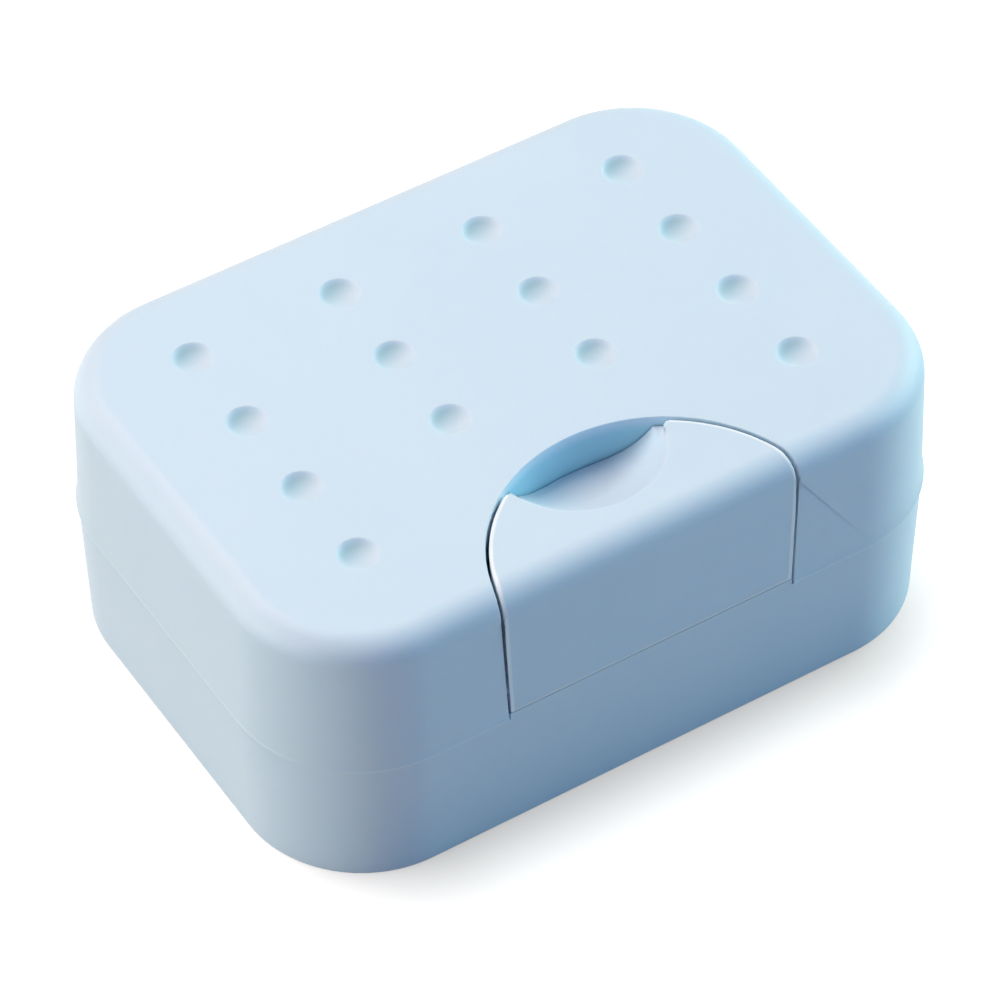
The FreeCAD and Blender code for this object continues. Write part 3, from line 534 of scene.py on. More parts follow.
@dataclass(frozen=True)
class Case:
    """Sizes that the pieces share. A draft is how far a wall leans in per millimetre."""

    half_x: float = 55.0
    half_y: float = 39.5
    corner: float = 19.5  # radius of the rim's corners in plan
    parting: float = 22.4  # height of the lid's lower edge
    gap: float = 0.2
    height: float = 46.0
    step: float = 0.3  # how far base and flap stand back from the lid's rim
    top_round: float = 4.2  # radius of the upper edge of lid and flap
    draft: float = math.tan(math.radians(1.8))
    arch_y: float = -42.4  # centre of the latch's arch in plan, in front of the box
    arch_radius: float = 24.6  # radius of the lid's arch at the top
    arch_draft: float = math.tan(math.radians(2.2))
    room_y: float = -32.2  # back of the recess behind the latch
    notch_round: float = 6.49  # outer round of the rim where it turns in behind the latch
    notch_inner_round: float = 0.6  # inner round of the same
    flap_gap: float = 0.45  # gap between flap and pocket
    pivot: Span = (-37.3, 27.2)  # place and height of the line that the flap turns on
    hinge: Span = (42.5, 22.4)  # place and height of the hinge line
    hinge_x: float = 28.0  # middle of each hinge station
    knuckle: float = 2.6  # radius of the hinge knuckles
    knuckle_round: float = 0.25  # radius of their edges
    web_root: float = 37.9  # where their webs start, inside the wall
    web: float = 6.0  # height of a web before it is fitted to its knuckle
    bores: float = 90.0  # length of a tool that bores both hinge stations
    dimple_pitch: Span = (23.75, 14.75)  # distances between dimples, across and along
    dimple_shift: float = 1.2  # how far the dimples' middle lies behind the box's

    def radius_at(self, z: float) -> float:
        """The pocket's radius at a height."""
        return self.arch_radius - (self.height - z) * self.arch_draft

    def on_arch(self, place: Vector, gap: float) -> bool:
        """Whether a place lies on the wall that is a gap inside the pocket's."""
        reach = math.hypot(place.x, place.y - self.arch_y)
        return abs(reach + gap - self.radius_at(place.z)) < BESIDE

    def rim(self, name: str, inset: float, z: float) -> Moulding:
        """A flat sheet of the rim's plan, with the notch behind the latch.

        Args:
            name: the sheet's name.
            inset: how far inside the lid's rim it lies.
            z: its height.

        Returns:
            The sheet.
        """
        half_x, half_y = self.half_x - inset, self.half_y - inset
        notch_x, notch_y = self.arch_radius + inset, self.room_y + inset
        sheet = Moulding.sheet(name, half_x, half_y, z)
        for place, normal in (((notch_x, 0, 0), (1, 0, 0)), ((-notch_x, 0, 0), (1, 0, 0)),
                              ((0, notch_y, 0), (0, 1, 0))):
            sheet.slice(place, normal, fill=False)
        sheet.faces(lambda middle, normal: abs(middle.x) < notch_x and middle.y < notch_y)
        bpy.ops.mesh.delete(type="FACE")
        sheet.everything()
        bpy.ops.mesh.dissolve_limited(angle_limit=math.radians(1.0))
        sheet.corners(lambda place: abs(place.x) > half_x - NEAR)
        sheet.bevel(self.corner - inset, 24, corners=True)
        sheet.corners(lambda place: abs(abs(place.x) - notch_x) < NEAR and place.y < -half_y + NEAR)
        sheet.bevel(self.notch_round - inset, 12, corners=True)
        sheet.corners(lambda place: abs(abs(place.x) - notch_x) < NEAR and abs(place.y - notch_y) < NEAR)
        return sheet.bevel(self.notch_inner_round + inset, 8, corners=True)

    def arch(self, name: str, gap: float, low: float, high: float) -> Moulding:
        """A cone that fills the latch's arch but for a gap, between two heights."""
        return Moulding.add(
            name, bpy.ops.mesh.primitive_cone_add, (0, self.arch_y, (low + high) / 2), vertices=192,
            radius1=(self.radius_at(low) - gap) * MM, radius2=(self.radius_at(high) - gap) * MM,
            depth=(high - low) * MM)

    def knuckles(self, name: str, start: float, width: float, wall_z: float, side: int) -> Moulding:
        """A hinge knuckle with its web, and its twin on the other side.

        Args:
            name: the pair's name.
            start: where the knuckle begins, across the box.
            width: its width.
            wall_z: height at which the web starts on the wall.
            side: 1 for a web above the hinge line, -1 for one below.

        Returns:
            Both knuckles.
        """
        y, z = self.hinge
        far_z = wall_z + side * self.web

        def far(place: Vector) -> bool:
            """Whether a place lies at the web's far end."""
            return side * (place.z - wall_z) > 1.0

        web = Moulding.block(name, (start, self.web_root, min(wall_z, far_z)),
                             (start + width, y, max(wall_z, far_z)))
        web.corners(lambda place: place.y > y - NEAR and far(place)).move(z=side * (self.knuckle - self.web))
        web.edges(lambda a, b: abs(a.x - b.x) < NEAR and far(a) and far(b)).bevel(self.knuckle_round, 2)
        eye = Moulding.rod(name + "_eye", (start + width / 2, y, z), self.knuckle, width)
        eye.edges(lambda a, b: abs(a.x - b.x) < NEAR).bevel(self.knuckle_round, 2)
        web.cut(eye, Cut.JOIN).everything()
        bpy.ops.mesh.duplicate()
        bpy.ops.transform.mirror(constraint_axis=(True, False, False), center_override=(0, 0, 0))
        return web.right_side_out()


# Finishes

def inside_arch(s: Shader, case: Case) -> Value:
    """How far a place lies inside the latch's arch, in millimetres."""
    x, across, z = s.axis("X"), s.axis("Y") - case.arch_y, s.axis("Z")
    return case.arch_radius - (case.height - z) * case.arch_draft - (x * x + across * across).root()


@dataclass(frozen=True)
class SatinPlastic:
    """Pale moulded polypropylene with a fine satin grain."""

    name: str
    colour: Colour = (0.575, 0.74, 0.86, 1.0)
    cloud: Colour = (0.6, 0.755, 0.87, 1.0)  # colour that the main one drifts towards in faint clouds
    roughness: float = 0.48
    translucency: float = 0.18  # weight of the light that spreads under the surface
    clouds: float = 38.0  # blotches per metre of the clouds
    flow: float = 160.0  # the same for the marks of the flowing plastic
    grain: float = 5200.0  # the same for the satin grain
    specks: float = 9000.0  # the same for the finest specks
    grain_depth: float = 0.012  # height of the grain in millimetres

    def tint(self, s: Shader, colour: bpy.types.NodeSocket) -> bpy.types.NodeSocket:
        """Change the colour with place, which plain plastic doesn't."""
        return colour

    def material(self) -> bpy.types.Material:
        """Build the material."""
        s = Shader(self.name)
        speck, grain, flow = s.noise(self.specks, 1.0), s.noise(self.grain, 2.0, 0.6), s.noise(self.flow, 2.0)
        cloud = s.noise(self.clouds, 3.0).ramp(0.35, 0.7) * 0.55 + speck * 0.12
        return s.principled({
            "Base Color": self.tint(s, s.blend(cloud, self.colour, self.cloud)),
            "Roughness": grain * 0.09 + flow * 0.06 + (self.roughness - 0.075),
            "Normal": s.bump(grain * 0.7 + speck * 0.3, self.grain_depth * MM),
            "IOR": 1.49,
            "Specular IOR Level": 0.42,
            "Subsurface Weight": self.translucency,
            "Subsurface Radius": (0.6, 1.0, 1.3),
            "Subsurface Scale": 1.6 * MM,
        })


@dataclass(frozen=True)
class LatchPlastic(SatinPlastic):
    """Satin plastic with a painted highlight on its rims and a painted highlight line along its lower edge.
    Each span goes from where a change starts to where it ends.
    """

    # colour of the painted highlight on the rims and along the lower edge
    rim: Colour = (0.86, 0.95, 1.0, 1.0)
    highlight_share: float = 0.8  # how much of that colour they take
    case: Case = Case()
    band: Span = (0.35, 0.75)  # distances from the flap's side over which the painted rim highlight fades
    on_top: Span = (44.8, 45.5)  # heights over which it appears on the top
    on_front: Span = (-36.0, -33.0)  # places from front to back over which it leaves the front
    sill: float = 23.5  # height of the painted highlight line along the flap's lower edge
    sill_band: Span = (0.1, 0.4)  # distances from that line over which it fades
    sill_front: Span = (-38.4, -37.4)  # places from front to back over which that line ends

    def tint(self, s: Shader, colour: bpy.types.NodeSocket) -> bpy.types.NodeSocket:
        """Paint a highlight on the rims and along the lower edge.

        Args:
            s: the material's nodes.
            colour: the plain colour.

        Returns:
            The colour with its painted highlights.
        """
        y, z = s.axis("Y"), s.axis("Z")
        # painted highlight on the rims by the flap's sides, over its top and front
        near_side = 1.0 - (inside_arch(s, self.case) - self.case.flap_gap).ramp(*self.band)
        side = near_side * (z.ramp(*self.on_top) + 1.0 - y.ramp(*self.on_front))
        # painted highlight line along the flap's lower edge
        sill = (1.0 - (z - self.sill).absolute().ramp(*self.sill_band)) * (1.0 - y.ramp(*self.sill_front))
        return s.blend((side + sill).ramp(0.0, 1.0) * self.highlight_share, colour, self.rim)


@dataclass(frozen=True)
class LidPlastic(SatinPlastic):
    """Satin plastic with painted shade that deepens the pocket and the dimples, and a painted highlight line
    low in front.
    """

    rim: Colour = (0.86, 0.95, 1.0, 1.0)  # colour of the painted highlight line along the lower edge
    highlight_share: float = 0.35  # how much of that colour it takes
    pocket_shade: Colour = (0.33, 0.64, 0.78, 1.0)  # colour of the painted shade in the latch's pocket
    shade: Colour = (0.33, 0.54, 0.63, 1.0)  # colour of the painted shade on the back walls of the dimples
    case: Case = Case()  # sizes of the pocket's arch and of the dimples' grid
    seam_highlight: float = 22.55  # height of the painted highlight line along the lower edge
    seam_band: Span = (0.05, 0.35)  # distances from it over which it fades
    seam_front: Span = (-38.5, -34.0)  # places from front to back over which it ends
    pocket_side: Span = (-0.06, 0.0)  # distances inside the arch over which the pocket's painted shade starts
    pocket_depth: Span = (43.5, 45.9)  # heights over which it fades
    pocket_front: Span = (-37.0, -34.0)  # places from front to back over which it starts
    dimple_slant: float = 0.1  # how far the shade turns to the left
    dimple_back: Span = (-1.6, 2.7)  # distances behind a dimple's middle over which the shade grows
    dimple_depth: Span = (45.35, 45.97)  # heights over which it fades
    dimple_floor: Span = (44.7, 44.9)  # heights under which it is gone
    dimple_clear: Span = (-3.0, -2.0)  # distances outside the arch over which it starts
    # distances from the box's middle over which it ends, across and along
    dimple_ends: tuple[Span, Span] = ((40.0, 43.0), (28.0, 31.0))

    def tint(self, s: Shader, colour: bpy.types.NodeSocket) -> bpy.types.NodeSocket:
        """Paint shade into the pocket and dimples, and a highlight line along the lower edge.

        Args:
            s: the material's nodes.
            colour: the plain colour.

        Returns:
            The colour with its painted shade and highlight.
        """
        y, z = s.axis("Y"), s.axis("Z")
        # painted shade on the walls of the latch's pocket, fading out towards the top
        pocket = inside_arch(s, self.case).ramp(*self.pocket_side) * (1.0 - z.ramp(*self.pocket_depth))
        colour = s.blend(pocket * y.ramp(*self.pocket_front), colour, self.pocket_shade)
        # painted highlight line along the lid's lower edge
        seam_highlight = (1.0 - (z - self.seam_highlight).absolute().ramp(*self.seam_band)) * (1.0 - y.ramp(*self.seam_front))
        colour = s.blend(seam_highlight * self.highlight_share, colour, self.rim)
        # painted shade on the back walls of the dimples
        return s.blend(self.dimple_shade_mask(s), colour, self.shade)

    def dimple_shade_mask(self, s: Shader) -> Value:
        """How far a place lies down the back wall of a dimple, which sets its painted shade.

        Args:
            s: the material's nodes.

        Returns:
            0 outside the dimples, up to 1 inside.
        """
        x, y, z = (s.axis(name) for name in "XYZ")
        pitch = self.case.dimple_pitch
        left = x.nearest(pitch[0] / 2, pitch[0])
        behind = y.nearest(self.case.dimple_shift + pitch[1] / 2, pitch[1])
        wall = (behind - left * self.dimple_slant).ramp(*self.dimple_back)
        depth = (1.0 - z.ramp(*self.dimple_depth)) * z.ramp(*self.dimple_floor)
        across, along = (1.0 - axis.absolute().ramp(*ends) for axis, ends in zip((x, y), self.dimple_ends))
        return wall * depth * across * along * (1.0 - inside_arch(s, self.case).ramp(*self.dimple_clear))


@dataclass(frozen=True)
class MilkySilicone:
    """Soft milky seal with faint mould bloom."""

    name: str = "seal silicone"

    def material(self) -> bpy.types.Material:
        """Build the material."""
        s = Shader(self.name)
        bloom = s.noise(220.0, 3.0)
        colour = s.blend(bloom.ramp(0.3, 0.75), (0.78, 0.82, 0.84, 1.0), (0.88, 0.9, 0.91, 1.0))
        return s.principled({
            "Base Color": colour,
            "Roughness": bloom * 0.2 + 0.42,
            "Normal": s.bump(s.noise(2600.0, 2.0), 0.01 * MM),
            "Subsurface Weight": 0.35,
            "Subsurface Radius": (1.0, 0.9, 0.8),
            "Subsurface Scale": 1.2 * MM,
        })


@dataclass(frozen=True)
class DrawnSteel:
    """Drawn stainless rod with fine lines along its length."""

    name: str = "pin steel"

    def material(self) -> bpy.types.Material:
        """Build the material."""
        s = Shader(self.name)
        stretch = s.add("ShaderNodeMapping", inputs={"Vector": s.place(), "Scale": (40.0, 9000.0, 9000.0)})
        lines = s.add("ShaderNodeTexNoise", inputs={
            "Vector": stretch.outputs[0], "Scale": 1.0, "Detail": 2.0})
        line = Value(s, lines.outputs[0])
        return s.principled({
            "Base Color": s.blend(line, (0.5, 0.51, 0.53, 1.0), (0.66, 0.67, 0.69, 1.0)),
            "Metallic": 1.0,
            "Roughness": line * 0.2 + 0.22,
            "Normal": s.bump(line, 0.004 * MM),
        })


@dataclass(frozen=True)
class PaleFloor:
    """White studio floor that the camera sees as plain white where nothing shades it, with a painted shadow
    close to the box.
    """

    name: str = "pale floor"
    # extra white close to the box, seen by the camera, and in gloss and glass; it is less here, which paints
    # a shadow round the box
    near: Colour = (0.39, 0.36, 0.335, 1.0)
    far: Colour = (0.86, 0.86, 0.86, 1.0)  # the same, clear of the box
    # half width, half depth and corner radius of the zone of painted shadow in millimetres
    plan: tuple[float, float, float] = (43.0, 38.0, 12.0)
    reach: float = 14.5  # how far the painted shadow reaches

    def clear(self, s: Shader) -> Value:
        """How clear of the box a place on the floor is, which fades out the painted shadow."""
        half_x, half_y, corner = self.plan
        across, along = (
            (s.axis(name).absolute() - (half - corner)).larger(0.0)
            for name, half in (("X", half_x), ("Y", half_y)))
        return ((across * across + along * along).root() - corner).ramp(-4.0, self.reach)

    def material(self) -> bpy.types.Material:
        """Build the material."""
        s = Shader(self.name)
        path = s.add("ShaderNodeLightPath")
        camera, gloss, glass = (Value(s, path.outputs[name]) for name in (
            "Is Camera Ray", "Is Glossy Ray", "Is Transmission Ray"))
        grain = s.noise(30.0, 2.0)
        diffuse = s.add("ShaderNodeBsdfDiffuse", inputs={
            "Color": s.blend(grain, (0.4, 0.385, 0.36, 1.0), (0.41, 0.395, 0.37, 1.0))})
        # painted shadow: the camera's extra white is less close to the box
        glow = s.add("ShaderNodeEmission", inputs={
            "Color": s.blend(self.clear(s), self.near, self.far), "Strength": camera + gloss + glass})
        both = s.add("ShaderNodeAddShader")
        s.feed(both.inputs[0], diffuse.outputs[0])
        s.feed(both.inputs[1], glow.outputs[0])
        return s.finish(both.outputs[0])


# Studio

@dataclass
class Camera:
    """The camera that the photograph was fitted to."""

    # camera position in millimetres
    place: Vector = field(default_factory=lambda: Vector((-272.533, -435.245, 556.888)))
    forward: Vector = field(default_factory=lambda: Vector((0.3659, 0.584608, -0.724121)))  # view direction
    # direction of the picture's right side
    right: Vector = field(default_factory=lambda: Vector((0.844835, -0.535004, -0.00503)))
    lens: float = 187.904  # focal length for a 36 mm wide sensor

    def build(self) -> bpy.types.Object:
        """Create the camera and make it the scene's own."""
        data = bpy.data.cameras.new("camera")
        data.sensor_fit = "HORIZONTAL"
        data.sensor_width = 36.0
        data.lens = self.lens
        data.clip_start = 0.01
        data.clip_end = 20.0
        camera = bpy.data.objects.new("camera", data)
        bpy.context.scene.collection.objects.link(camera)
        back = -self.forward.normalized()
        up = back.cross(self.right).normalized()
        side = up.cross(back).normalized()
        turn = Matrix((side, up, back)).transposed().to_4x4()
        camera.matrix_world = Matrix.Translation(self.place * MM) @ turn
        bpy.context.scene.camera = camera
        return camera


@dataclass
class Lamp:
    """One soft rectangular lamp aimed at the box."""

    name: str
    place: tuple[float, float, float]  # position in metres
    size: tuple[float, float]
    power: float
    colour: tuple[float, float, float]

    def build(self) -> None:
        """Create the lamp."""
        data = bpy.data.lights.new(self.name, "AREA")
        data.shape = "RECTANGLE"
        data.size, data.size_y = self.size
        data.energy = self.power
        data.color = self.colour
        lamp = bpy.data.objects.new(self.name, data)
        bpy.context.scene.collection.objects.link(lamp)
        lamp.location = self.place
        lamp.rotation_euler = (-Vector(self.place)).to_track_quat("-Z", "Y").to_euler()


@dataclass
class Studio:
    """Floor, world and lamps."""

    floor_half: float = 3.0  # half the floor's side in metres
    ambient: Colour = (0.1, 0.15, 1.0, 1.0)  # colour of the light from all round
    ambient_strength: float = 0.13  # its strength
    # the lamps
    lamps: Sequence[Lamp] = (
        Lamp("top", (-0.2, 0.58, 1.2), (1.0, 1.0), 17.7, (1.0, 0.81, 0.69)),
        Lamp("left", (-1.3, 0.15, 0.4), (1.0, 0.9), 11.6, (0.98, 0.98, 0.88)),
        Lamp("right", (1.28, -0.17, 0.48), (1.2, 0.9), 17.0, (0.79, 1.0, 0.81)),
        Lamp("front", (0.9, -0.9, 0.5), (1.0, 0.8), 3.9, (0.0, 0.42, 1.0)),
    )

    def build(self) -> None:
        """Create the stage and its light."""
        deselect()
        bpy.ops.mesh.primitive_plane_add(size=2 * self.floor_half, location=(0, 0, 0))
        floor = bpy.context.active_object
        floor.name = "floor"
        floor.data.materials.append(PaleFloor().material())
        world = bpy.data.worlds.new("studio")
        bpy.context.scene.world = world
        world.use_nodes = True
        tree = world.node_tree
        tree.nodes.clear()
        out = tree.nodes.new("ShaderNodeOutputWorld")
        path = tree.nodes.new("ShaderNodeLightPath")
        light, white, mix = (tree.nodes.new(kind) for kind in (
            "ShaderNodeBackground", "ShaderNodeBackground", "ShaderNodeMixShader"))
        light.inputs["Color"].default_value = self.ambient
        light.inputs["Strength"].default_value = self.ambient_strength
        white.inputs["Color"].default_value = (1.0, 1.0, 1.0, 1.0)
        tree.links.new(path.outputs["Is Camera Ray"], mix.inputs[0])
        tree.links.new(light.outputs[0], mix.inputs[1])
        tree.links.new(white.outputs[0], mix.inputs[2])
        tree.links.new(mix.outputs[0], out.inputs[0])
        for lamp in self.lamps:
            lamp.build()
        bpy.context.scene.view_settings.view_transform = "Standard"


# Pieces

@dataclass
class Piece:
    """One part of the box."""

    case: Case
    finish: bpy.types.Material


@dataclass
class LidShell(Piece):
    """The cap: one drafted shell with a soft top edge, dimples and the latch's pocket."""

    # how far each part of the band low on the wall goes in and up
    bead_steps: tuple[Span, ...] = ((0.02, 0.3), (0.2, 0.3), (0.16, 2.0))
    edge_round: float = 0.14  # radius of its lower edge
    wall: float = 2.2  # wall thickness low down
    upper_wall: float = 3.4  # wall thickness high up
    roof: float = 2.0  # thickness of the top
    lap: float = 0.1  # how far the upper room reaches into the lower one
    pocket_depth: float = 8.8  # depth of the latch's pocket
    pocket_round: float = 0.22  # width of the bevel round the pocket
    pocket_rise: float = 2.0  # edges of the pocket that rise more than this stay sharp
    bed: float = 1.8  # thickness of the pocket's floor
    recess_lap: float = 0.4  # how far the recess in front reaches into the pocket
    rebate: Span = (0.9, 2.5)  # inset and height of the rebate that goes over the seal
    eye: float = 9.0  # width of a knuckle
    bore: float = 1.06  # radius of the hinge's bore
    # radius of the sockets for the flap's trunnions, and the distance between their ends
    socket: Span = (1.16, 49.86)
    # radius and height of each ring of a dimple, from outside in
    dimple_profile: tuple[Span, ...] = (
        (3.3, 0.1), (3.1, 0.0), (2.94, -0.1), (2.72, -0.26), (2.42, -0.42), (2.05, -0.57),
        (1.6, -0.7), (1.1, -0.8), (0.55, -0.86))

    def build(self) -> bpy.types.Object:
        """Model the lid."""
        case, shell = self.case, self.skin()
        pocket_z = case.height - self.pocket_depth
        under, below = pocket_z - self.bed, case.parting - OVER
        shell.cut(case.rim("lid_low_room", self.wall, below).thicken(under - below))
        room = rounded_sheet("lid_high_room", case.half_x - self.upper_wall, case.half_y - self.upper_wall,
                             case.corner - self.upper_wall, under - self.lap)
        room.thicken(case.height - self.roof - under + self.lap)
        room.cut(case.arch("bed_wall", -self.wall, under - OVER, case.height))
        shell.cut(room)
        shell.cut(case.arch("pocket", 0.0, pocket_z, case.height + OVER))
        recess = case.arch("recess", 0.0, below, pocket_z + self.recess_lap)
        recess.slice((0, case.room_y, case.parting), (0, 1, -case.arch_draft))
        shell.cut(recess)
        inset, rise = self.rebate
        shell.cut(case.rim("rebate", inset, below).thicken(rise + OVER))
        shell.cut(case.knuckles("lid_knuckles", case.hinge_x - self.eye / 2, self.eye, case.parting, 1),
                  Cut.JOIN)
        shell.cut(Moulding.rod("lid_bore", (0, *case.hinge), self.bore, case.bores))
        shell.cut(Moulding.rod("sockets", (0, *case.pivot), *self.socket))
        for x, y in self.dimple_places():
            shell.cut(self.dimple(x, y))
        self.soften(shell)
        return shell.polish(self.finish)

    def skin(self) -> Moulding:
        """The lid's outside as one solid block."""
        case = self.case
        straight = case.height - case.top_round - case.parting - sum(rise for _, rise in self.bead_steps)
        steps = [*self.bead_steps, (straight * case.draft, straight), *arc_steps(case.top_round, 12)]
        shell = rounded_sheet("lid", case.half_x, case.half_y, case.corner, case.parting).loft(steps)
        return shell.level(case.parting).bevel(self.edge_round, 3)

    def dimple_places(self) -> list[Span]:
        """Middles of the fourteen dimples; the front row has only its outer two."""
        (across, along), shift = self.case.dimple_pitch, self.case.dimple_shift
        return [(across * column, shift + along * row) for row in (1.5, 0.5, -0.5, -1.5)
                for column in (-1.5, -0.5, 0.5, 1.5) if row > -1.0 or abs(column) > 1.0]

    def dimple(self, x: float, y: float) -> Moulding:
        """A tool that presses one soft-edged dimple."""
        profile = self.dimple_profile
        tool = Moulding.disc("dimple", (x, y, self.case.height + profile[0][1]), profile[0][0], 48)
        return tool.loft(ring_steps(profile))

    def soften(self, shell: Moulding) -> None:
        """Break the sharp edge of the latch's pocket.

        Args:
            shell: the lid, all but finished.
        """
        case, floor = self.case, self.case.height - self.pocket_depth
        shell.tidy()
        shell.edges(lambda a, b: abs(a.z - b.z) < self.pocket_rise and all(
            case.on_arch(end, 0.0) and end.z > floor + 1.0 for end in (a, b)), sharper=50.0)
        shell.bevel(self.pocket_round, 2)


@dataclass
class BaseShell(Piece):
    """The tub: drafted walls, seal collar, latch ledge with its gutter, and hinge knuckles."""

    draft: float = math.tan(math.radians(1.5))  # how far the wall leans in per millimetre down
    foot_round: float = 0.7  # radius of the lower edge
    edge_round: float = 0.14  # radius of the upper edge
    collar: float = 1.9  # inset of the collar's outside from the lid's rim
    collar_rise: float = 2.4  # height of the collar above the rim
    inside: float = 2.8  # inset of the wall's inside
    inner_round: float = 1.2  # radius where wall and floor meet
    floor: float = 2.0  # thickness of the floor
    # the ledge that the latch's hook holds under, between two corners
    ledge: Box = ((-23.17, -39.2, 21.2), (23.17, -36.4, 23.7))
    gutter: Box = ((-22.3, -37.6, 4.0), (22.3, -32.2, 21.9))  # the space behind the ledge
    mouth: Box = ((-22.3, -36.4, 21.0), (22.3, -32.2, 26.0))  # the way into it from above
    trough: Span = (4.3, 49.4)  # radius and length of the hollow for the flap's heel
    eye: float = 5.0  # width of a knuckle
    eye_gap: float = 9.6  # distance between a station's two knuckles
    bore: float = 1.0  # radius of the hinge's bore

    def build(self) -> bpy.types.Object:
        """Model the base."""
        case = self.case
        rim = case.parting - case.gap
        straight = rim - self.foot_round
        shell = rounded_sheet("base", case.half_x - case.step, case.half_y - case.step,
                              case.corner - case.step, rim)
        shell.loft([(straight * self.draft, -straight),
                    *((inward, -rise) for inward, rise in arc_steps(self.foot_round, 4))])
        shell.level(rim).bevel(self.edge_round, 2)
        collar = case.rim("collar", self.collar, rim - LAP)
        shell.cut(collar.thicken(self.collar_rise + LAP), Cut.JOIN)
        room = case.rim("base_room", self.inside, self.floor)
        room.thicken(rim + self.collar_rise + OVER - self.floor)
        shell.cut(room.level(self.floor).bevel(self.inner_round, 4))
        shell.cut(Moulding.block("ledge", *self.ledge), Cut.JOIN)
        shell.cut(Moulding.block("gutter", *self.gutter))
        shell.cut(Moulding.block("mouth", *self.mouth))
        shell.cut(Moulding.rod("trough", (0, *case.pivot), *self.trough))
        for start in (self.eye_gap / 2, -self.eye_gap / 2 - self.eye):
            shell.cut(case.knuckles("base_knuckles", case.hinge_x + start, self.eye, rim, -1), Cut.JOIN)
        shell.cut(Moulding.rod("base_bore", (0, *case.hinge), self.bore, case.bores))
        return shell.tidy().polish(self.finish)


@dataclass
class LatchFlap(Piece):
    """The arched flap: top and front in one, with a finger dish, heel, hook and trunnions."""

    heel: float = 4.18  # radius of the heel
    skin: float = 1.8  # thickness of top and front
    skirt: float = 1.6  # thickness of the sides and under the hollow
    shelf: float = 37.5  # height of the underside of the top
    sill: float = 23.6  # height under which edges stay sharp
    brow_more: float = 0.2  # how far past the top's round an edge still counts as in view
    brow_share: float = 0.97  # share of the lid's top round that the flap's takes
    rim_round: float = 0.42  # radius of the edges in view
    sliver: float = 0.1  # edges shorter than this are merged before the edges are rounded
    dish_y: float = -19.0  # middle of the finger dish, from front to back
    dish_radius: float = 12.7  # radius of the dish at the top
    dish_flare: Span = (0.4, 0.9)  # how far the tool for it spreads above the top, out and up
    dish_depth: float = 6.8
    dish_power: float = 3.6  # how much steeper the dish is at its rim than in the middle
    # radii of its rings as shares of its own
    dish_shares: tuple[float, ...] = (
        1.0, 0.97, 0.935, 0.895, 0.85, 0.8, 0.74, 0.67, 0.59, 0.5, 0.4, 0.28, 0.14)
    dish_gap: float = 0.16  # gap between the dish's back edge and the lid
    dish_rim: float = 1.6  # how far under the top the dish's back begins
    dish_wall: float = 1.7  # how far the thickening under the dish reaches past it
    dish_taper: float = 6.9  # how far that thickening draws in downwards
    ear: Span = (12.41, -21.69)  # place in plan of the right ear's tip
    ear_round: float = 0.9  # radius of the ears' tips
    ear_lean: float = 66.6  # direction in degrees in which the ear points, from the side to the back
    ear_half: float = 35.65  # half the angle of the ear
    ear_reach: float = 1.6  # how far the tool for it reaches from the tip
    hook: Box = ((-8.0, -36.1, 20.4), (8.0, -34.8, 25.2))  # the hook's blade, between two corners
    barb: Span = (21.12, 21.6)  # heights between which its barb stands out
    barb_reach: float = 1.2  # how far it stands out
    trunnion: Span = (1.1, 49.26)  # radius of the trunnions and the distance between their ends

    def build(self) -> bpy.types.Object:
        """Model the flap."""
        case, (y, z) = self.case, self.case.pivot
        flap = self.body()
        inner_front = self.front(case.height) + self.skin
        hollow = case.arch("hollow", case.flap_gap + self.skirt, z - self.heel + self.skirt,
                           case.height - self.skin)
        flap.cut(hollow.slice((0, inner_front, z), (0, -1, 0)))
        flap.cut(case.arch("outline", case.flap_gap, case.parting - OVER, case.height + OVER), Cut.KEEP)
        flap.cut(self.dish_back(), Cut.JOIN)
        flap.cut(self.dish())
        for side in (-1, 1):
            flap.cut(self.ear_tool(side))
        flap.cut(self.hook_tool(), Cut.JOIN)
        flap.cut(Moulding.rod("trunnions", (0, y, z), *self.trunnion), Cut.JOIN)
        self.soften(flap)
        return flap.polish(self.finish)

    def front(self, z: float) -> float:
        """Where the flap's front lies at a height."""
        return self.case.step - self.case.half_y + (z - self.case.parting) * self.case.draft

    def body(self) -> Moulding:
        """The flap's profile from heel to top, wider than the arch."""
        case, (y, z) = self.case, self.case.pivot
        wide, low = case.arch_radius + OVER, z - self.heel
        body = Moulding.block("latch", (-wide, y - self.heel, low), (wide, y + self.heel, self.shelf))
        body.edges(lambda a, b: at_height(a, low) and at_height(b, low) and abs(a.y - b.y) < NEAR)
        body.bevel(self.heel - NEAR, 20)
        body.faces(lambda middle, normal: normal.z > FACING).extrude(z=case.height - self.shelf)
        body.faces(lambda middle, normal: normal.y > FACING and middle.z > self.shelf)
        body.extrude(y=case.arch_y + wide - (y + self.heel)).right_side_out()
        body.slice((0, self.front(case.parting), case.parting), (0, -1, case.draft))
        body.edges(lambda a, b: at_height(a, case.height) and at_height(b, case.height)
                   and max(a.y, b.y) < self.front(case.height) + NEAR)
        return body.bevel(case.top_round * self.brow_share, 12)

    def dish_back(self) -> Moulding:
        """The thickening under the dish."""
        case = self.case
        top = case.height - self.dish_rim
        cone = Moulding.disc("dish_back", (0, self.dish_y, top), self.dish_radius + self.dish_wall, 96)
        cone.loft([(self.dish_taper, self.shelf - top)])
        return cone.cut(case.arch("dish_edge", self.dish_gap, self.shelf - OVER, case.height), Cut.KEEP)

    def dish(self) -> Moulding:
        """The tool that hollows the finger dish, steep at its rim and flat in the middle."""
        out, up = self.dish_flare
        tool = Moulding.disc("dish", (0, self.dish_y, self.case.height + up), self.dish_radius + out, 160)
        rings = [(self.dish_radius * share, self.dish_depth * share ** self.dish_power)
                 for share in self.dish_shares]
        return tool.loft([(out, -up), *ring_steps(rings)])

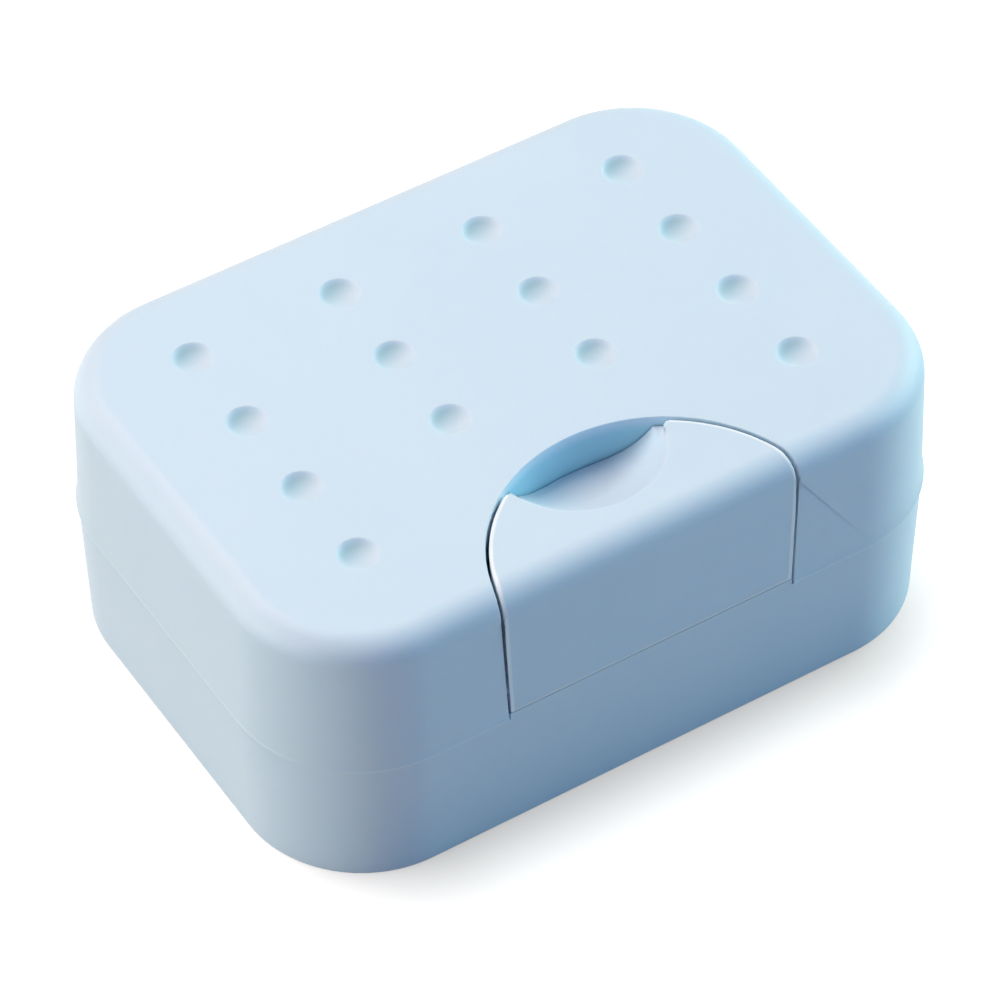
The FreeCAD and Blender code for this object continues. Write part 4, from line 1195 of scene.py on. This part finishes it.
    def ear_tool(self, side: int) -> Moulding:
        """A tool that rounds one ear's tip with six planes, 16 degrees apart.

        Args:
            side: 1 for the right ear, -1 for the left.

        Returns:
            A block with the rounded tip taken out.
        """
        lean, reach = math.radians(self.ear_lean), self.ear_reach
        middle = Vector((side * self.ear[0], self.ear[1], self.case.height))
        low = middle - Vector((reach, reach, self.dish_rim))
        high = middle + Vector((reach, reach, reach))
        over = Vector((OVER, OVER, OVER))
        tool = Moulding.block("ear", low, high)
        tip = Moulding.block("ear_tip", low - over, high + over)
        away = self.ear_round / math.sin(math.radians(self.ear_half))
        middle += Vector((side * away * math.cos(lean), -away * math.sin(lean), 0))
        for turn in range(-40, 41, 16):
            angle = lean + math.radians(turn)
            normal = Vector((-side * math.cos(angle), math.sin(angle), 0))
            tip.slice(middle + normal * self.ear_round, normal)
        return tool.cut(tip)

    def hook_tool(self) -> Moulding:
        """The hook under the heel."""
        blade = Moulding.block("hook", *self.hook)
        low, high = self.barb
        for height in self.barb:
            blade.slice((0, 0, height), (0, 0, 1), fill=False)
        blade.faces(lambda middle, normal: normal.y < -FACING and low < middle.z < high)
        return blade.extrude(y=-self.barb_reach).right_side_out()

    def soften(self, flap: Moulding) -> None:
        """Round every edge in view.

        Args:
            flap: the flap, all but finished.
        """
        case = self.case
        flap.tidy(near=self.sliver)

        def in_view(place: Vector) -> bool:
            """Whether a place lies on the flap's top or front, above its heel."""
            front, top, brow = self.front(place.z), case.height, case.top_round
            return place.z > self.sill and (place.z > top - BESIDE or place.y < front + BESIDE or (
                place.z > top - brow and place.y < front + brow + self.brow_more))

        flap.edges(lambda a, b: in_view(a) and in_view(b) and (
            all(case.on_arch(end, case.flap_gap) for end in (a, b))
            or all(at_height(end, case.height) for end in (a, b))), sharper=28.0)
        flap.bevel(self.rim_round, 4)


@dataclass
class SealRing(Piece):
    """The soft band round the base's collar, with three sealing beads."""

    low: float = 22.2  # height of its underside
    rise: float = 2.6
    outside: float = 1.0  # inset of the beads' outside from the lid's rim
    inside: float = 1.9  # inset of the band's inside
    web: float = 0.3  # how far the band between the beads lies behind them
    bead: float = 0.6  # height of one bead
    bead_round: float = 0.2  # radius of the beads' edges
    lip: float = 0.05  # how far the outer beads stand in from the band's edges

    def build(self) -> bpy.types.Object:
        """Model the seal."""
        case = self.case
        band = case.rim("seal", self.outside + self.web, self.low).thicken(self.rise)
        spacing = (self.rise - self.bead) / 2 - self.lip
        for count in range(3):
            bead = case.rim("bead", self.outside, self.low + self.lip + count * spacing).thicken(self.bead)
            bead.edges(lambda a, b: abs(a.z - b.z) < NEAR)
            band.cut(bead.bevel(self.bead_round, 3), Cut.JOIN)
        band.cut(case.rim("seal_room", self.inside, self.low - OVER).thicken(self.rise + 2 * OVER))
        return band.tidy().polish(self.finish)


@dataclass
class HingePin(Piece):
    """One drawn pin with chamfered ends and two grip grooves."""

    name: str
    side: int  # 1 on the right, -1 on the left
    radius: float = 1.0
    length: float = 19.6
    chamfer: float = 0.22  # width of the bevel at each end
    groove: float = 0.3  # width of each groove
    groove_depth: float = 0.12  # depth of each groove
    groove_inset: float = 1.6  # distance of each groove from its end

    def build(self) -> bpy.types.Object:
        """Model the pin."""
        x, hinge = self.side * self.case.hinge_x, self.case.hinge
        ends = (x - self.length / 2, x + self.length / 2)
        pin = Moulding.rod(self.name, (x, *hinge), self.radius, self.length)
        pin.edges(lambda a, b: any(abs(a.x - end) < NEAR and abs(b.x - end) < NEAR for end in ends))
        pin.bevel(self.chamfer, 3)
        for end, inward in zip(ends, (1, -1)):
            place = (end + inward * self.groove_inset, *hinge)
            ring = Moulding.rod("groove", place, self.radius + OVER, self.groove)
            core = Moulding.rod("core", place, self.radius - self.groove_depth, self.groove + OVER)
            pin.cut(ring.cut(core))
        return pin.tidy().polish(self.finish)


@dataclass
class DrainTray(Piece):
    """The lift-out tray: a soft-edged plate with oblong slots, round ribs and four feet."""

    half_x: float = 50.2
    reach_y: Span = (-27.4, 34.7)  # its front and back edges
    corner: float = 18.0  # radius of its corners in plan
    foot: float = 2.0  # height of the feet's undersides
    low: float = 7.0  # height of the plate's underside
    plate: float = 1.6  # thickness of the plate
    soft: float = 0.45  # radius of the edges of plate and ribs
    slot: Span = (3.2, 23.0)  # width and length of a slot
    slot_round: float = 0.2  # radius of a slot's upper edge
    slot_flat: float = 0.02  # how much less than half its width the ends of a slot are rounded
    pitch: float = 7.6  # distance between slots
    row_gap: float = 5.0  # distance between the two rows of slots
    slots: int = 9  # slots in a row
    rib: Span = (1.3, 1.5)  # width and height of a rib
    foot_size: Span = (8.0, 2.0)  # length and width of a foot
    foot_round: float = 0.25  # radius of a foot's lower edge
    foot_flat: float = 0.1  # how much less than half its width a foot's ends are rounded
    foot_inset: float = 13.0  # how far the feet stand in from the edges

    def build(self) -> bpy.types.Object:
        """Model the tray."""
        front, back = self.reach_y
        middle, top = (front + back) / 2, self.low + self.plate
        tray = rounded_sheet("tray", self.half_x, (back - front) / 2, self.corner, self.low)
        tray.everything().move(y=middle).thicken(self.plate)
        tray.edges(lambda a, b: abs(a.z - b.z) < NEAR).bevel(self.soft, 4)
        for row in (-1, 1):
            for count in range(self.slots):
                tray.cut(self.slot_tool(self.pitch * (count - (self.slots - 1) / 2),
                                        middle + row * (self.row_gap + self.slot[1]) / 2))
        for count in range(self.slots + 1):
            tray.cut(self.rib_at(self.pitch * (count - self.slots / 2), middle), Cut.JOIN)
        for x in (self.foot_inset - self.half_x, self.half_x - self.foot_inset):
            for y in (self.foot_inset - back, back - self.foot_inset):
                tray.cut(self.foot_at(x, y), Cut.JOIN)
        tray.tidy().edges(lambda a, b: all(at_height(end, top) and self.in_slots(end) for end in (a, b)),
                          sharper=60.0)
        return tray.bevel(self.slot_round, 2).polish(self.finish)

    def in_slots(self, place: Vector) -> bool:
        """Whether a place lies among the slots and clear of the ribs."""
        across = place.x / self.pitch + self.slots / 2
        clear = abs(across - round(across)) * self.pitch > self.rib[0] / 2 + self.slot_round
        return clear and abs(place.x) < self.slots * self.pitch / 2

    def slot_tool(self, x: float, y: float) -> Moulding:
        """A tool that cuts one oblong slot."""
        wide, long = self.slot
        tool = rounded_sheet("slot", wide / 2, long / 2, wide / 2 - self.slot_flat, self.low - OVER, 10)
        return tool.everything().move(x, y).thicken(self.plate + 2 * OVER)

    def rib_at(self, x: float, y: float) -> Moulding:
        """One round-backed rib that keeps the soap up."""
        (wide, high), top = self.rib, self.low + self.plate
        reach = self.slot[1] + self.row_gap / 2
        rib = Moulding.block("rib", (x - wide / 2, y - reach, top - LAP),
                             (x + wide / 2, y + reach, top + high))
        return rib.level(top + high).bevel(self.soft, 5)

    def foot_at(self, x: float, y: float) -> Moulding:
        """One foot with round corners."""
        long, wide = self.foot_size
        foot = rounded_sheet("foot", long / 2, wide / 2, wide / 2 - self.foot_flat, self.foot, 8)
        foot.everything().move(x, y).thicken(self.low - self.foot + LAP)
        return foot.level(self.foot).bevel(self.foot_round, 3)


def stand_in(piece: bpy.types.Object, node: str, body: str) -> None:
    """Let a modelled piece stand for a solid, and report it.

    Args:
        piece: the finished piece.
        node: the solid that it replaces.
        body: the body that it rides on.
    """
    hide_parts(node)
    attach(piece, body)
    LOG.info("%s: %d faces", piece.name, len(piece.data.polygons))


def main() -> None:
    """Build the scene piece by piece."""
    logging.basicConfig(level=logging.INFO, format="%(name)s: %(message)s")
    Camera().build()
    LOG.info("camera set")
    Studio().build()
    LOG.info("studio set")
    case = Case()
    lid, base, latch, tray = (finish.material() for finish in (
        LidPlastic("lid plastic"), SatinPlastic("base plastic"), LatchPlastic("latch plastic"),
        SatinPlastic("tray plastic")))
    stand_in(LidShell(case, lid).build(), "lid_shell", "lid")
    stand_in(BaseShell(case, base).build(), "base_shell", "base")
    stand_in(LatchFlap(case, latch).build(), "latch_flap", "latch")
    stand_in(DrainTray(case, tray).build(), "drain_tray", "tray")
    stand_in(SealRing(case, MilkySilicone().material()).build(), "seal_ring", "base")
    steel = DrawnSteel().material()
    for name, node, side in (("pin_left", "hinge_pin_left", -1), ("pin_right", "hinge_pin_right", 1)):
        stand_in(HingePin(case, steel, name, side).build(), node, "base")


if __name__ == "__main__":
    main()
